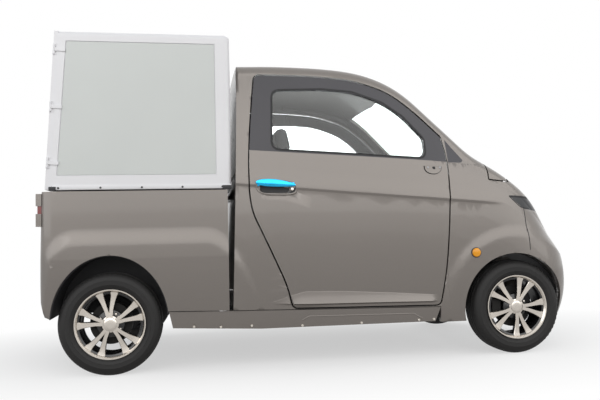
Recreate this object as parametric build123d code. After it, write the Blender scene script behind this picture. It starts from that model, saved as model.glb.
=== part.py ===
from build123d import *
import os
from math import atan, cos, degrees, radians, sin, sqrt, tan

os.makedirs("parts", exist_ok=True)

# Cargo microcar: a two-seat cab with a closed cargo box over the rear axle.
# +X points forward, +Y to the vehicle's left, +Z up, the ground is Z = 0.
# Millimetres. X is measured from mid-wheelbase while building; the finished
# pieces are moved so that the origin is the bottom centre of the whole vehicle.

# Driving sizes
wheelbase = 2256.0
half_width = 700.0
cab_height = 1690.0
wall = 30.0
skin = 8.0
glass_thickness = 5.0
glass_inset = 3.0
door_gap = 8.0
seam_gap = 3.0
seat_gap = 0.3
overrun = 60.0

# Wheels and tyres
tyre_radius = 265.5
tyre_width = 155.0
rim_radius = 182.0
rim_inner_radius = 151.0
hub_face_radius = 47.0
wheel_outer_y = 690.0
spoke_pairs = 5
spoke_spread_angle = 24.0
spoke_width_outer = 26.0
spoke_width_inner = 15.0
spoke_depth = 24.0
nut_circle = 114.3
nut_count = 4
nut_pocket_radius = 11.0
disc_radius = 118.0
disc_thickness = 12.0
kingpin_inset = 26.0

# Wheel openings
front_arch_radius = 308.0
front_arch_shift = -12.0
rear_arch_half_length = 300.0
rear_arch_height = 356.0
liner_thickness = 5.0
rear_liner_in_y = 430.0
rear_liner_out_y = 690.0
rear_liner_foot = 36.0
window_corner_radius = 45.0
seat_back_inset = 100.0
head_gap = 20.0
ball_clear = 22.0
well_inner_y = 395.0

# Structure
rail_half_track = 330.0
rail_width = 60.0
rail_depth = 75.0
floor_top = 311.0
floor_thickness = 6.0
rocker_width = 60.0
rocker_depth = 88.0
rear_rail_rise = 170.0
cross_width = 50.0

# Cargo box
box_half_width = 690.0
box_wall = 25.0
box_corner_radius = 28.0
box_panel_recess = 6.0
box_panel_thickness = 4.0
panel_rear_margin = 58.0
panel_front_margin = 80.0
panel_foot_margin = 74.0
panel_head_margin = 54.0
box_gap = 8.0
door_leaf = 22.0
hinge_pin_radius = 4.0
pin_clearance = 0.15
eye_radius = 6.0

# Doors and their hinges
hinge_back_from_edge = 98.0
hinge_axis_y = 686.0
hinge_levels_share = (0.355, 0.520)
hinge_strap_height = 40.0
pocket_half = 45.0
hinge_strap_thickness = 8.0
knuckle_height = 18.0
pillar_face_y = 580.0
pillar_thickness = 38.0
pillar_length = 160.0
pillar_top = 1000.0
handle_length = 205.0
handle_height = 22.0
handle_stand = 9.0

# Tail lamps
lamp_proud = 14.0

# Bonnet hinge
bonnet_pin_radius = 3.0
bonnet_eye_radius = 6.0
bonnet_eye_half = 55.0
bonnet_web_width = 40.0
bonnet_web_drop = 5.0
bonnet_riser = 4.0
bonnet_skin = 12.0
bonnet_nose_room = 14.0

# Sills
sill_inner_y = 640.0
sill_clear = 4.0

# Cabin
firewall_x = 792.0
firewall_top = 1000.0
seat_width = 440.0
seat_spread = 265.0
seat_front_x = 390.0
seat_length = 460.0
seat_top = 610.0
cushion_depth = 120.0
seat_box_depth = 175.0
back_height = 640.0
back_thickness = 95.0
back_lean = 12.0
head_width = 250.0
head_height = 150.0
head_thickness = 80.0
dash_top = 1060.0
dash_bottom = 700.0
dash_depth = 190.0
dash_half_width = 570.0
steer_wheel_x = 440.0
steer_wheel_z = 960.0
steer_wheel_y = 265.0
steer_wheel_radius = 175.0
steer_rim_radius = 14.0
steer_lean = 115.0
column_radius = 28.0

# Heavy masses
battery_length = 1015.4
battery_width = 560.0
battery_depth = 130.0
motor_length = 260.0
motor_radius = 120.0
axle_tube_radius = 32.0
drum_radius = 108.0

# Front suspension
ball_reach = 95.0
boss_radius = 18.0
boss_height = 20.0
arm_width = 30.0
arm_depth = 24.0
tower_width = 60.0
coil_radius = 34.0
housing_radius = 42.0
rack_radius = 24.0

# Rear springs
spring_y = 430.0
spring_width = 60.0
spring_thickness = 24.0
spring_half_length = 285.0
spring_drop = 70.0

# Cab body sections from the rear wall to the nose. X is a share of the
# wheelbase, Y of the half width and Z of the cab height; the last column is
# the part of the wall that the section moves back by on its inner side.
# x, sill y z, waist y z, crease y z, rail y z, shoulder y z, crown z, nose
cab_section_shares = [
    (-0.2238, 0.9657, 0.1183, 1.0000, 0.3314, 1.0029, 0.5828, 0.8329, 0.9467, 0.7643, 0.9858, 1.0024, 0.00),
    (-0.1350, 0.9660, 0.1183, 1.0003, 0.3314, 1.0032, 0.5741, 0.8327, 0.9481, 0.7642, 0.9875, 1.0036, 0.00),
    (-0.0480, 0.9669, 0.1183, 1.0012, 0.3314, 1.0041, 0.5656, 0.8334, 0.9468, 0.7644, 0.9867, 1.0028, 0.00),
    (0.0370, 0.9683, 0.1183, 1.0026, 0.3314, 1.0054, 0.5572, 0.8354, 0.9404, 0.7656, 0.9813, 0.9982, 0.00),
    (0.1150, 0.9690, 0.1183, 1.0029, 0.3314, 1.0057, 0.5493, 0.8397, 0.9219, 0.7694, 0.9663, 0.9853, 0.00),
    (0.2327, 0.9714, 0.1183, 1.0043, 0.3314, 1.0057, 0.5373, 0.8501, 0.8474, 0.7801, 0.8954, 0.9239, 0.00),
    (0.3014, 0.9714, 0.1183, 1.0048, 0.3314, 1.0052, 0.5309, 0.8659, 0.7656, 0.7936, 0.8131, 0.8489, 0.00),
    (0.3590, 0.9714, 0.1183, 1.0057, 0.3314, 1.0036, 0.5255, 0.8895, 0.6926, 0.8118, 0.7393, 0.7810, 0.05),
    (0.4012, 0.9714, 0.1183, 1.0057, 0.3295, 1.0020, 0.5216, 0.9144, 0.6396, 0.8276, 0.6863, 0.7298, 0.13),
    (0.4632, 0.9714, 0.1183, 1.0057, 0.3235, 0.9963, 0.5139, 0.9380, 0.5841, 0.8494, 0.6324, 0.6728, 0.23),
    (0.5253, 0.9714, 0.1183, 1.0035, 0.3028, 0.9835, 0.4604, 0.9433, 0.5279, 0.8551, 0.5733, 0.6209, 0.43),
    (0.5785, 0.9604, 0.1183, 0.9906, 0.2587, 0.9649, 0.3855, 0.8945, 0.4545, 0.7752, 0.5126, 0.5640, 0.66),
    (0.6228, 0.8803, 0.1216, 0.9543, 0.2365, 0.9292, 0.3470, 0.7940, 0.3986, 0.6062, 0.4412, 0.4743, 0.86),
    (0.6582, 0.7214, 0.1273, 0.8340, 0.2330, 0.8001, 0.3136, 0.6768, 0.3550, 0.4679, 0.3794, 0.3950, 1.00),
    (0.6804, 0.5246, 0.1386, 0.6481, 0.2308, 0.6215, 0.2917, 0.5246, 0.3221, 0.3490, 0.3388, 0.3470, 1.00),
    (0.6937, 0.2429, 0.1716, 0.3357, 0.2308, 0.3214, 0.2663, 0.2857, 0.2840, 0.2143, 0.2941, 0.2988, 1.00),
]
# Rear body section: Y is a share of the half width, Z of the cab height
bed_sill_share = (0.9657, 0.1640)
bed_waist_share = (1.0000, 0.3314)
bed_top_share = (1.0029, 0.5657)
bed_front_share = -0.2274
tail_side_shares = [
    (-0.6490, 0.5700), (-0.6520, 0.4500), (-0.6560, 0.3100), (-0.6530, 0.2300),
    (-0.6430, 0.1860), (-0.6230, 0.1740), (-0.2200, 0.1400),
]
tail_corner_radius = 70.0
side_bow_share = 0.03
shoulder_bow_share = 0.14
inner_drop = 60.0

# Side outlines: X as a share of the wheelbase, Z of the cab height
door_shares = [
    (-0.1546, 0.9500), (-0.1678, 0.7915), (-0.1745, 0.6600), (-0.1740, 0.5500),
    (-0.1669, 0.4910), (-0.1272, 0.3773), (-0.0872, 0.2569), (-0.0741, 0.1850),
    (0.2945, 0.1760), (0.3110, 0.2900), (0.3215, 0.4400), (0.3275, 0.5804),
    (0.3290, 0.6600), (0.3211, 0.7419), (0.2493, 0.8336), (0.1861, 0.8960),
    (0.0941, 0.9370), (-0.0355, 0.9500),
]
window_shares = [
    (-0.1111, 0.8960), (-0.1173, 0.6987), (0.2715, 0.6680), (0.2708, 0.7333),
    (0.2192, 0.8104), (0.1683, 0.8572), (0.0910, 0.8928), (0.0136, 0.9010),
]
belt_shares = [(-0.1740, 0.6950), (0.3400, 0.6510)]
quarter_shares = [(0.3330, 0.7320), (0.3760, 0.6602), (0.3700, 0.6512), (0.3330, 0.6512)]
sill_line_shares = [(-0.3672, 0.1900), (-0.0741, 0.1800), (0.2963, 0.1700)]
sill_under_shares = [(-0.3587, 0.1363), (-0.1510, 0.1224), (0.2820, 0.1208)]
sill_split_share = -0.1500
fender_shares = [(0.3320, 0.6500), (0.3729, 0.6484), (0.4400, 0.6425)]
bonnet_side_shares = [(0.4400, 0.6700), (0.4400, 0.5900), (0.4980, 0.5815), (0.6700, 0.5400)]
bonnet_front_shares = [(0.4980, 1.0100), (0.5020, 0.8600), (0.5400, 0.5700), (0.5560, 0.0000)]
lamp_shares = [(0.4932, 0.5330), (0.6400, 0.5330), (0.6400, 0.4700), (0.5300, 0.4890), (0.5060, 0.5150)]
lamp_inner_y_share = 0.52
bumper_seam_shares = [(0.5300, 0.4940), (0.5317, 0.4390), (0.5348, 0.3946), (0.5363, 0.3469), (0.5363, 0.1000)]
windscreen_shares = [(0.2020, 0.6700), (0.4130, 0.7700), (0.4230, 0.6000), (0.4330, 0.0000)]
windscreen_head_shares = [(0.2020, 0.6700), (0.2200, 0.0000)]


# Helpers
def side_point(shares):
    return (shares[0] * wheelbase, shares[1] * cab_height)


def plan_point(shares):
    return (shares[0] * wheelbase, shares[1] * half_width)


def side_solid(points, half):
    face = make_face(Plane.XZ * Polyline(*points, close=True))
    return extrude(face, amount=half, both=True)


def side_run(points, y_from, y_to):
    return Pos(0, (y_from + y_to) / 2, 0) * side_solid(points, abs(y_to - y_from) / 2)


def plan_solid(points, z_from, z_to):
    face = make_face(Plane.XY * Polyline(*points, close=True))
    return Pos(0, 0, z_from) * extrude(face, amount=z_to - z_from)


def block(x_from, x_to, y_from, y_to, z_from, z_to):
    solid = Box(abs(x_to - x_from), abs(y_to - y_from), abs(z_to - z_from))
    return Pos((x_from + x_to) / 2, (y_from + y_to) / 2, (z_from + z_to) / 2) * solid


def mirrored(solid):
    return solid.mirror(Plane.XZ)


def rounded_outline(points, corner_radius):
    radii = []
    for i, p in enumerate(points):
        before, after = Vector(*points[i - 1]), Vector(*points[(i + 1) % len(points)])
        here = Vector(*p)
        run_in, run_out = here - before, after - here
        turn = abs(run_in.get_angle(run_out))
        room = 0.45 * min(run_in.length, run_out.length) / tan(radians(max(turn, 1.0)) / 2)
        radii.append(min(room, corner_radius if turn > 35.0 else room))
    line = FilletPolyline(*points, radius=radii, close=True)
    return make_face(line)


def outline_solid(shares, corner_radius, grow, half):
    points = [side_point(s) for s in shares]
    flat = rounded_outline(points, corner_radius)
    if grow:
        flat = offset(flat, amount=grow)
    return extrude(Plane.XZ * flat, amount=half, both=True)


def arc_edge(a, b, bow_share):
    chord = b - a
    normal = Vector(0, chord.Z, -chord.Y).normalized()
    middle = (a + b) * 0.5 + normal * (chord.length * bow_share)
    return Edge.make_three_point_arc(a, middle, b)


def cab_section(row, inset):
    (xs, sy, sz, wy, wz, cy, cz, ry, rz, hy, hz, tz, nose) = row
    x = xs * wheelbase - inset * nose
    side_inset = inset * (1 - 0.45 * nose)
    sill_drop = inner_drop if inset > skin else 0.0

    def at(y, z):
        return Vector(x, y, z)

    sill = (sy * half_width - side_inset, sz * cab_height - sill_drop)
    waist = (wy * half_width - side_inset, wz * cab_height)
    crease = (cy * half_width - side_inset, cz * cab_height)
    rail = (ry * half_width - side_inset, rz * cab_height - 0.3 * side_inset)
    shoulder = (hy * half_width - 0.8 * side_inset, hz * cab_height - 0.8 * side_inset)
    crown = tz * cab_height - inset
    left = [at(*p) for p in (sill, waist, crease, rail, shoulder)]
    right = [at(-v.Y, v.Z) for v in left]
    return Wire([
        Edge.make_line(right[0], left[0]),
        Edge.make_three_point_arc(left[0], left[1], left[2]),
        arc_edge(left[2], left[3], side_bow_share),
        arc_edge(left[3], left[4], shoulder_bow_share),
        Edge.make_three_point_arc(left[4], at(0, crown), right[4]),
        arc_edge(right[4], right[3], shoulder_bow_share),
        arc_edge(right[3], right[2], side_bow_share),
        Edge.make_three_point_arc(right[2], right[1], right[0]),
    ])


def cab_loft(inset):
    return Solid.make_loft([cab_section(row, inset) for row in cab_section_shares])


def bed_form(inset):
    """The rear body's outer form, or its inner form when inset."""
    open_end = inner_drop if inset else 0.0

    def at(share, side, lift):
        return Vector(tail_x - overrun, side * (share[0] * half_width - inset),
                      share[1] * cab_height + lift)

    left = [at(bed_sill_share, 1, -open_end), at(bed_waist_share, 1, 0.0), at(bed_top_share, 1, open_end)]
    right = [at(bed_sill_share, -1, -open_end), at(bed_waist_share, -1, 0.0), at(bed_top_share, -1, open_end)]
    wire = Wire([
        Edge.make_line(right[0], left[0]), Edge.make_three_point_arc(*left),
        Edge.make_line(left[2], right[2]), Edge.make_three_point_arc(*reversed(right))])
    front_x = bed_front_share * wheelbase
    bar = Solid.extrude(Face(wire), Vector(front_x - tail_x + overrun, 0, 0))
    half = bed_top_share[0] * half_width - inset
    plan = make_face(Polyline((tail_x + inset, -half), (front_x, -half), (front_x, half),
                              (tail_x + inset, half), close=True))
    corners = plan.vertices().sort_by(Axis.X)[:2]
    plan = fillet(corners, tail_corner_radius - inset)
    side = [(x * wheelbase + inset, z * cab_height - (open_end if i > 3 else 0.0))
            for i, (x, z) in enumerate(tail_side_shares)]
    tall = cab_height * 0.70
    side_form = side_solid([(side[0][0], tall)] + side + [(side[-1][0], tall)], body_reach)
    tall_plan = Pos(0, 0, -overrun) * extrude(plan, amount=cab_height)
    return (bar & tall_plan) & side_form


def solids_of(shape):
    return list(shape.solids())


def main_solids(shape, least_share=0.02):
    found = sorted(shape.solids(), key=lambda s: -s.volume)
    return [s for s in found if s.volume > least_share * found[0].volume]


front_axle_x = wheelbase / 2
rear_axle_x = -wheelbase / 2
nose_x = cab_section_shares[-1][0] * wheelbase
tail_x = min(x for x, z in tail_side_shares) * wheelbase
origin_x = (nose_x + tail_x - lamp_proud) / 2
body_reach = half_width + overrun


def save(name, shapes):
    shapes = shapes if isinstance(shapes, list) else [shapes]
    pieces = [s for shape in shapes for s in shape.solids()]
    moved = [Pos(-origin_x, 0, 0) * s for s in pieces]
    whole = moved[0] if len(moved) == 1 else Compound(children=moved)
    export_step(whole, "parts/" + name + ".step")


# Cab shell: outer form less the inner form, with a slanted rear wall
back_foot = side_point((-0.2238, 0.10))
back_head = side_point((-0.1960, 1.02))
front_end = nose_x + overrun


def ahead_of_back(shift, half):
    foot = (back_foot[0] + shift, -overrun)
    head = (back_head[0] + shift, back_head[1] + overrun)
    return side_solid([foot, (front_end, -overrun), (front_end, head[1]), head], half)


outer = cab_loft(0.0) & ahead_of_back(0.0, body_reach)
inner = cab_loft(wall) & ahead_of_back(wall, body_reach)
shell = outer - inner

# Side doors, with the window frame above the belt and the glass in it
door_tool = outline_solid(door_shares, 30.0, 0.0, body_reach)
door_hole = outline_solid(door_shares, 30.0, door_gap, body_reach)
window_tool = outline_solid(window_shares, window_corner_radius, 0.0, body_reach)
belt = [side_point(s) for s in belt_shares]
belt_rear = (belt[0][0] - overrun, belt[0][1])
belt_front = (belt[1][0] + overrun, belt[1][1])
above_belt = [belt_rear, belt_front, (belt_front[0], cab_height), (belt_rear[0], cab_height)]
above_tool = side_solid(above_belt, body_reach)
right_half = block(back_foot[0] - overrun, front_end, -body_reach, 0, 0, cab_height * 1.1)

door_body = shell & (door_tool & right_half)

# Pockets behind the door's skin leave room for the fixed eyes of its hinges
hinge_x = side_point(door_shares[11])[0] - hinge_back_from_edge
flange_rear_x = hinge_x - hinge_strap_thickness
pocket_y = -hinge_axis_y - hinge_strap_thickness - 1.0
hinge_levels = [share * cab_height for share in hinge_levels_share]
for level in hinge_levels:
    room = block(flange_rear_x, front_end, pocket_y, 0, level - pocket_half, level + pocket_half)
    door_body = door_body - room
shell = shell - door_hole
door_upper = door_body & above_tool
door_lower = main_solids(door_body - above_tool)[0]
door_frame = main_solids(door_upper - window_tool)[0]
glass_outer = cab_loft(glass_inset) & (window_tool & right_half)
door_glass = main_solids(glass_outer - cab_loft(glass_inset + glass_thickness))[0]
# Wheel openings, windscreen, lamps, bonnet, bumper and wings from the shell
front_arch = Pos(front_axle_x + front_arch_shift, 0, tyre_radius) * (
    Rot(90, 0, 0) * Cylinder(front_arch_radius, 2 * body_reach))
sill_line = [side_point(s) for s in sill_line_shares]
under_floor = side_solid(
    [(sill_line[0][0], -overrun)] + sill_line + [(sill_line[-1][0], -overrun)], body_reach)
shell = shell - front_arch - under_floor

screen_plan = [plan_point((x, y)) for x, y in windscreen_shares]
head_plan = [plan_point((x, y)) for x, y in windscreen_head_shares]
screen_outline = (screen_plan[:3] + [screen_plan[3]]
                  + [(x, -y) for x, y in reversed(screen_plan[:3])] + [head_plan[1]])
screen_tool = plan_solid(screen_outline, cab_height * 0.60, cab_height * 1.1)
shell = shell - screen_tool
windscreen = main_solids((cab_loft(glass_inset) & screen_tool)
                         - cab_loft(glass_inset + glass_thickness))[0]

lamp_tool = side_solid([side_point(s) for s in lamp_shares], body_reach)
lamp_tool = lamp_tool - block(0, front_end, -half_width * lamp_inner_y_share,
                              half_width * lamp_inner_y_share, 0, cab_height)
headlamps = main_solids(shell & lamp_tool)
shell = shell - lamp_tool


def bonnet_tool(shrink):
    side = make_face(Plane.XZ * Polyline(*[side_point(s) for s in bonnet_side_shares],
                                         (front_end, cab_height), (back_foot[0], cab_height),
                                         close=True))
    half_plan = [plan_point(s) for s in bonnet_front_shares]
    rear = bonnet_side_shares[0][0] * wheelbase
    plan = ([(rear, half_plan[0][1])] + half_plan
            + [(x, -y) for x, y in reversed(half_plan[:-1])] + [(rear, -half_plan[0][1])])
    flat = make_face(Polyline(*plan, close=True))
    if shrink:
        side = offset(side, amount=-shrink)
        flat = offset(flat, amount=-shrink) & Pos(-bonnet_nose_room, 0, 0) * flat
    return extrude(side, amount=body_reach, both=True) & extrude(flat, amount=cab_height)


bonnet = main_solids((shell & bonnet_tool(door_gap)) - cab_loft(bonnet_skin))[0]
shell = shell - bonnet_tool(0.0)

bumper_line = [side_point(s) for s in bumper_seam_shares]
bumper_tool = side_solid(
    bumper_line + [(front_end, bumper_line[-1][1]), (front_end, side_point(lamp_shares[2])[1]),
                   side_point(lamp_shares[2])], body_reach)
front_bumper = main_solids(shell & bumper_tool)[0]
shell = shell - bumper_tool

wing_line = [side_point(s) for s in fender_shares]
front_edge_x = side_point((0.3300, 0.0))[0] - wall
ahead_tool = side_solid(
    [(front_edge_x, 0), (front_edge_x, wing_line[0][1])] + wing_line
    + [(wing_line[-1][0], cab_height * 0.70),
       (front_end, cab_height * 0.70), (front_end, 0)], body_reach)
ahead = shell & ahead_tool
shell = shell - ahead_tool
middle = block(0, front_end, -half_width * lamp_inner_y_share,
               half_width * lamp_inner_y_share, 0, cab_height)
front_panel = main_solids(ahead & middle)
wings = main_solids(ahead - middle)
cab_shell = main_solids(shell)


def back_x(z):
    lean = (back_head[0] - back_foot[0]) / (back_head[1] - back_foot[1])
    return back_foot[0] + (z - back_foot[1]) * lean


# Chassis frame: two rails that rise over the rear axle, cross members, rockers
rail_top = floor_top - floor_thickness
rail_low = rail_top - rail_depth
rail_front_x = nose_x - 180.0
rail_rear_x = tail_x + 90.0
kick_front_x = rear_axle_x + 430.0
kick_rear_x = rear_axle_x + 270.0
rail_side = [
    (rail_front_x, rail_low), (rail_front_x, rail_top), (kick_front_x, rail_top),
    (kick_rear_x, rail_top + rear_rail_rise), (rail_rear_x, rail_top + rear_rail_rise),
    (rail_rear_x, rail_low + rear_rail_rise), (kick_rear_x, rail_low + rear_rail_rise),
    (kick_front_x, rail_low)]
rail_in = rail_half_track - rail_width / 2
rail_out = rail_half_track + rail_width / 2
rail = side_run(rail_side, rail_in, rail_out)
frame_parts = rail + mirrored(rail)
rocker_rear_x = side_point((sill_split_share, 0))[0] - 110.0
rocker_front_x = side_point(sill_line_shares[-1])[0]
rocker_out = sill_inner_y
rocker = block(rocker_rear_x, rocker_front_x, rocker_out - rocker_width, rocker_out,
               rail_top - rocker_depth, rail_top)
frame_parts = frame_parts + rocker + mirrored(rocker)
for cross_x in (rocker_rear_x + cross_width / 2, rocker_front_x - cross_width / 2):
    frame_parts = frame_parts + block(cross_x - cross_width / 2, cross_x + cross_width / 2,
                                      -rocker_out, rocker_out, rail_low, rail_top)
for cross_x in (rail_front_x - cross_width, front_axle_x):
    frame_parts = frame_parts + block(cross_x - cross_width / 2, cross_x + cross_width / 2,
                                      -rail_out, rail_out, rail_low, rail_top)
deck_top = bed_top_share[1] * cab_height - 2 * seat_gap
deck_thickness = 20.0
deck_low = deck_top - deck_thickness
post_places = (kick_rear_x - cross_width, rear_axle_x - 100.0, rail_rear_x + cross_width)
for cross_x in post_places:
    frame_parts = frame_parts + block(cross_x - cross_width / 2, cross_x + cross_width / 2,
                                      -rail_out, rail_out, rail_low + rear_rail_rise,
                                      rail_top + rear_rail_rise)
    post = block(cross_x - cross_width / 2, cross_x + cross_width / 2, rail_in, rail_out,
                 rail_top + rear_rail_rise, deck_low)
    frame_parts = frame_parts + post + mirrored(post)
chassis_frame = frame_parts

# Suspension towers stand on the rails under the wheel liners
arch_top = tyre_radius + front_arch_radius
tower = block(front_axle_x + front_arch_shift - tower_width / 2,
              front_axle_x + front_arch_shift + tower_width / 2,
              rail_out - tower_width, rail_out + tower_width / 2, rail_top,
              tyre_radius + sqrt(front_arch_radius ** 2 - (tower_width / 2) ** 2) - seat_gap)
towers = [tower, mirrored(tower)]

# Floor pan with the firewall, hinge pillars, and the seat bases
floor_rear_x = back_x(floor_top) + wall + seat_gap
floor_plate = block(floor_rear_x, firewall_x, -sill_inner_y, sill_inner_y, rail_top, floor_top)
firewall = block(firewall_x - floor_thickness, firewall_x, -pillar_face_y, pillar_face_y,
                 rail_top, firewall_top)
floor_pan = floor_plate + firewall

pillar_rear_x = hinge_x - cross_width / 5
pillar_front_x = firewall_x - floor_thickness
hinge_z = hinge_levels
pillar = block(pillar_rear_x, pillar_front_x, -pillar_face_y, -pillar_face_y + pillar_thickness,
               floor_top, pillar_top)
bracket_reach = cab_section_shares[5][5] * half_width - wall - 1.2
bracket = block(pillar_front_x - cross_width / 2, pillar_front_x, -bracket_reach, -pillar_face_y,
                hinge_z[1] - knuckle_height / 2, hinge_z[1] + knuckle_height / 2)
pillar = pillar + bracket
for z in hinge_z:
    strap = block(hinge_x - hinge_strap_thickness / 2, hinge_x + hinge_strap_thickness / 2,
                  -hinge_axis_y, -pillar_face_y, z - hinge_strap_height / 2,
                  z + hinge_strap_height / 2)
    eye = Pos(hinge_x, -hinge_axis_y, z) * Cylinder(eye_radius, hinge_strap_height)
    pin = Pos(hinge_x, -hinge_axis_y, z) * Cylinder(
        eye_radius / 2, hinge_strap_height + 2 * knuckle_height)
    pillar = pillar + strap + eye + pin
hinge_pillars = [pillar, mirrored(pillar)]

# The door's hinge eyes, above and below each strap
door_panel = door_lower
for z in hinge_z:
    for side in (-1, 1):
        level = z + side * (hinge_strap_height / 2 + knuckle_height / 2 + seam_gap / 6)
        knuckle = Pos(hinge_x, -hinge_axis_y, level) * Cylinder(eye_radius, knuckle_height)
        web = block(flange_rear_x - wall, hinge_x, -hinge_axis_y - eye_radius,
                    -hinge_axis_y + eye_radius, level - knuckle_height / 2,
                    level + knuckle_height / 2)
        bore = Pos(hinge_x, -hinge_axis_y, level) * Cylinder(
            eye_radius / 2 + pin_clearance, knuckle_height + seam_gap)
        door_panel = door_panel + (knuckle + web)
        door_panel = door_panel - bore

# Bonnet hinge: a pin held by two webs off the cowl, in an eye on the bonnet
bonnet_rear_x = bonnet_side_shares[0][0] * wheelbase
bonnet_pin_x = bonnet_rear_x + door_gap + bonnet_eye_radius + seam_gap
probe = outer & block(bonnet_pin_x - seat_gap, bonnet_pin_x + seat_gap, -seam_gap, seam_gap,
                      0, cab_height)
bonnet_pin_z = probe.bounding_box().max.Z - bonnet_eye_radius - seam_gap / 2
along = Rot(90, 0, 0)
web_out = bonnet_eye_half + bonnet_web_width + seam_gap
bonnet_eye = Pos(bonnet_pin_x, 0, bonnet_pin_z) * (along * Cylinder(
    bonnet_eye_radius, 2 * bonnet_eye_half))
bonnet_room = block(bonnet_rear_x, bonnet_pin_x + bonnet_eye_radius + seam_gap, -web_out, web_out,
                    bonnet_pin_z - wall, bonnet_pin_z + bonnet_eye_radius + seam_gap / 4)
bonnet_join = block(bonnet_pin_x, bonnet_pin_x + 2 * bonnet_eye_radius, -bonnet_eye_half,
                    bonnet_eye_half, bonnet_pin_z - bonnet_eye_radius, bonnet_pin_z + bonnet_eye_radius)
bonnet_bore = Pos(bonnet_pin_x, 0, bonnet_pin_z) * (along * Cylinder(
    bonnet_pin_radius + pin_clearance, 4 * bonnet_eye_half))
bonnet = main_solids((bonnet - bonnet_room) + bonnet_eye + bonnet_join - bonnet_bore)[0]
bonnet_pin = Pos(bonnet_pin_x, 0, bonnet_pin_z) * (along * Cylinder(
    bonnet_pin_radius, 2 * (bonnet_eye_half + bonnet_web_width / 2)))
bonnet_hinge = bonnet_pin
for side in (-1, 1):
    web_mid = side * (bonnet_eye_half + bonnet_web_width / 2)
    web_low_y = web_mid - bonnet_web_width / 2 + seam_gap / 6
    web_high_y = web_mid + bonnet_web_width / 2 - seam_gap / 6
    web_foot_z = bonnet_pin_z - 2 * bonnet_eye_radius
    bonnet_hinge = bonnet_hinge + block(
        bonnet_rear_x - wall / 2, bonnet_pin_x + bonnet_pin_radius, web_low_y, web_high_y,
        web_foot_z, bonnet_pin_z - bonnet_web_drop)
    bonnet_hinge = bonnet_hinge + block(
        bonnet_pin_x - bonnet_riser, bonnet_pin_x + bonnet_pin_radius, web_low_y, web_high_y,
        web_foot_z, bonnet_pin_z + bonnet_pin_radius)

# Door handle: a bar on two feet over a shallow recess in the door
handle_rear_x = side_point((-0.1600, 0))[0]
handle_z = side_point((0, 0.5800))[1]
handle_y = cab_section_shares[1][5] * half_width
handle_front_x = handle_rear_x + handle_length
recess = block(handle_rear_x + handle_height, handle_front_x - handle_height,
               -handle_y - handle_stand, -handle_y + handle_stand,
               handle_z - 2 * handle_height, handle_z + handle_height / 2)
recess = fillet(recess.edges().filter_by(Axis.Y), handle_height)
door_panel = main_solids(door_panel - recess)[0]
bar = side_run([(handle_rear_x, handle_z - handle_height * 0.6),
                (handle_rear_x, handle_z + handle_height * 0.6),
                (handle_front_x, handle_z + handle_height * 0.1),
                (handle_front_x, handle_z - handle_height * 0.5)],
               -handle_y - 2 * handle_stand, -handle_y + handle_stand / 3)
bar = main_solids(bar - outer)[0]
door_handle = main_solids(bar - block(handle_rear_x + handle_height, handle_front_x - handle_height,
                                      -handle_y - handle_stand * 0.8, 0,
                                      handle_z - handle_height, handle_z + handle_height))[0]

# Sills under the doors, in a rear and a front length
sill_rear_x = sill_line[0][0]
sill_front_x = sill_line[-1][0]
row = cab_section_shares[1]
sill_foot = Vector(sill_rear_x, -row[1] * half_width, row[2] * cab_height)
sill_waist = Vector(sill_rear_x, -row[3] * half_width, row[4] * cab_height)
sill_head = Vector(sill_rear_x, -row[5] * half_width, row[6] * cab_height)
sill_wire = Wire([
    Edge.make_three_point_arc(sill_foot, sill_waist, sill_head),
    Edge.make_line(sill_head, Vector(sill_rear_x, -sill_inner_y, sill_head.Z)),
    Edge.make_line(Vector(sill_rear_x, -sill_inner_y, sill_head.Z),
                   Vector(sill_rear_x, -sill_inner_y, sill_foot.Z)),
    Edge.make_line(Vector(sill_rear_x, -sill_inner_y, sill_foot.Z), sill_foot)])
sill_bar = Solid.extrude(Face(sill_wire), Vector(sill_front_x - sill_rear_x, 0, 0))
sill_shape = [side_point(s) for s in sill_under_shares]
sill_side = side_solid(
    sill_shape + [(p[0], p[1] - sill_clear) for p in reversed(sill_line)], body_reach)
sill_whole = sill_bar & sill_side
split_x = sill_split_share * wheelbase
sill_rear = sill_whole & block(sill_rear_x - overrun, split_x, -body_reach, 0, 0, cab_height)
sill_fore = sill_whole & block(split_x, sill_front_x + overrun, -body_reach, 0, 0, cab_height)
sills = [sill_rear, sill_fore, mirrored(sill_rear), mirrored(sill_fore)]

# Rear body: sides and tail under the cargo box, open above and below
bed_outer = bed_form(0.0)
bed_inner = bed_form(wall)
bed_shell = bed_outer - bed_inner
rear_arch = extrude(Plane.XZ * (Pos(rear_axle_x, tyre_radius) * Ellipse(
    rear_arch_half_length, rear_arch_height)), amount=body_reach, both=True)
bed_shell = bed_shell - rear_arch - under_floor
bed_shell = bed_shell - side_solid(
    [(rear_axle_x, -overrun), (sill_line[0][0], -overrun), (sill_line[0][0], sill_line[0][1]),
     (rear_axle_x, tyre_radius)], body_reach)
tail_half = half_width * 0.80
tail_tool = block(tail_x - overrun, tail_x + 2 * wall, -tail_half, tail_half, 0, cab_height)
tail_panel = main_solids(bed_shell & tail_tool)
bed_sides = main_solids(bed_shell - tail_tool)

# Tail lamps: painted blocks above and below a lens at each rear corner
lamp_in_y = tail_half - 90.0
lamp_out_y = bed_top_share[0] * half_width - tail_corner_radius / 3
lens_low, lens_high = 0.4990 * cab_height, 0.5230 * cab_height
block_low, block_high = 0.4600 * cab_height, 0.5600 * cab_height
block_a = block(tail_x - lamp_proud, tail_x + lamp_proud, -lamp_out_y, -lamp_in_y, block_low, lens_low)
block_b = block(tail_x - lamp_proud, tail_x + lamp_proud, -lamp_out_y, -lamp_in_y, lens_high, block_high)
lens = block(tail_x - lamp_proud / 2, tail_x + lamp_proud, -lamp_out_y + lamp_proud / 2,
             -lamp_in_y, lens_low, lens_high)


def outside(solid):
    return main_solids(solid - bed_outer)[0]


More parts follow.
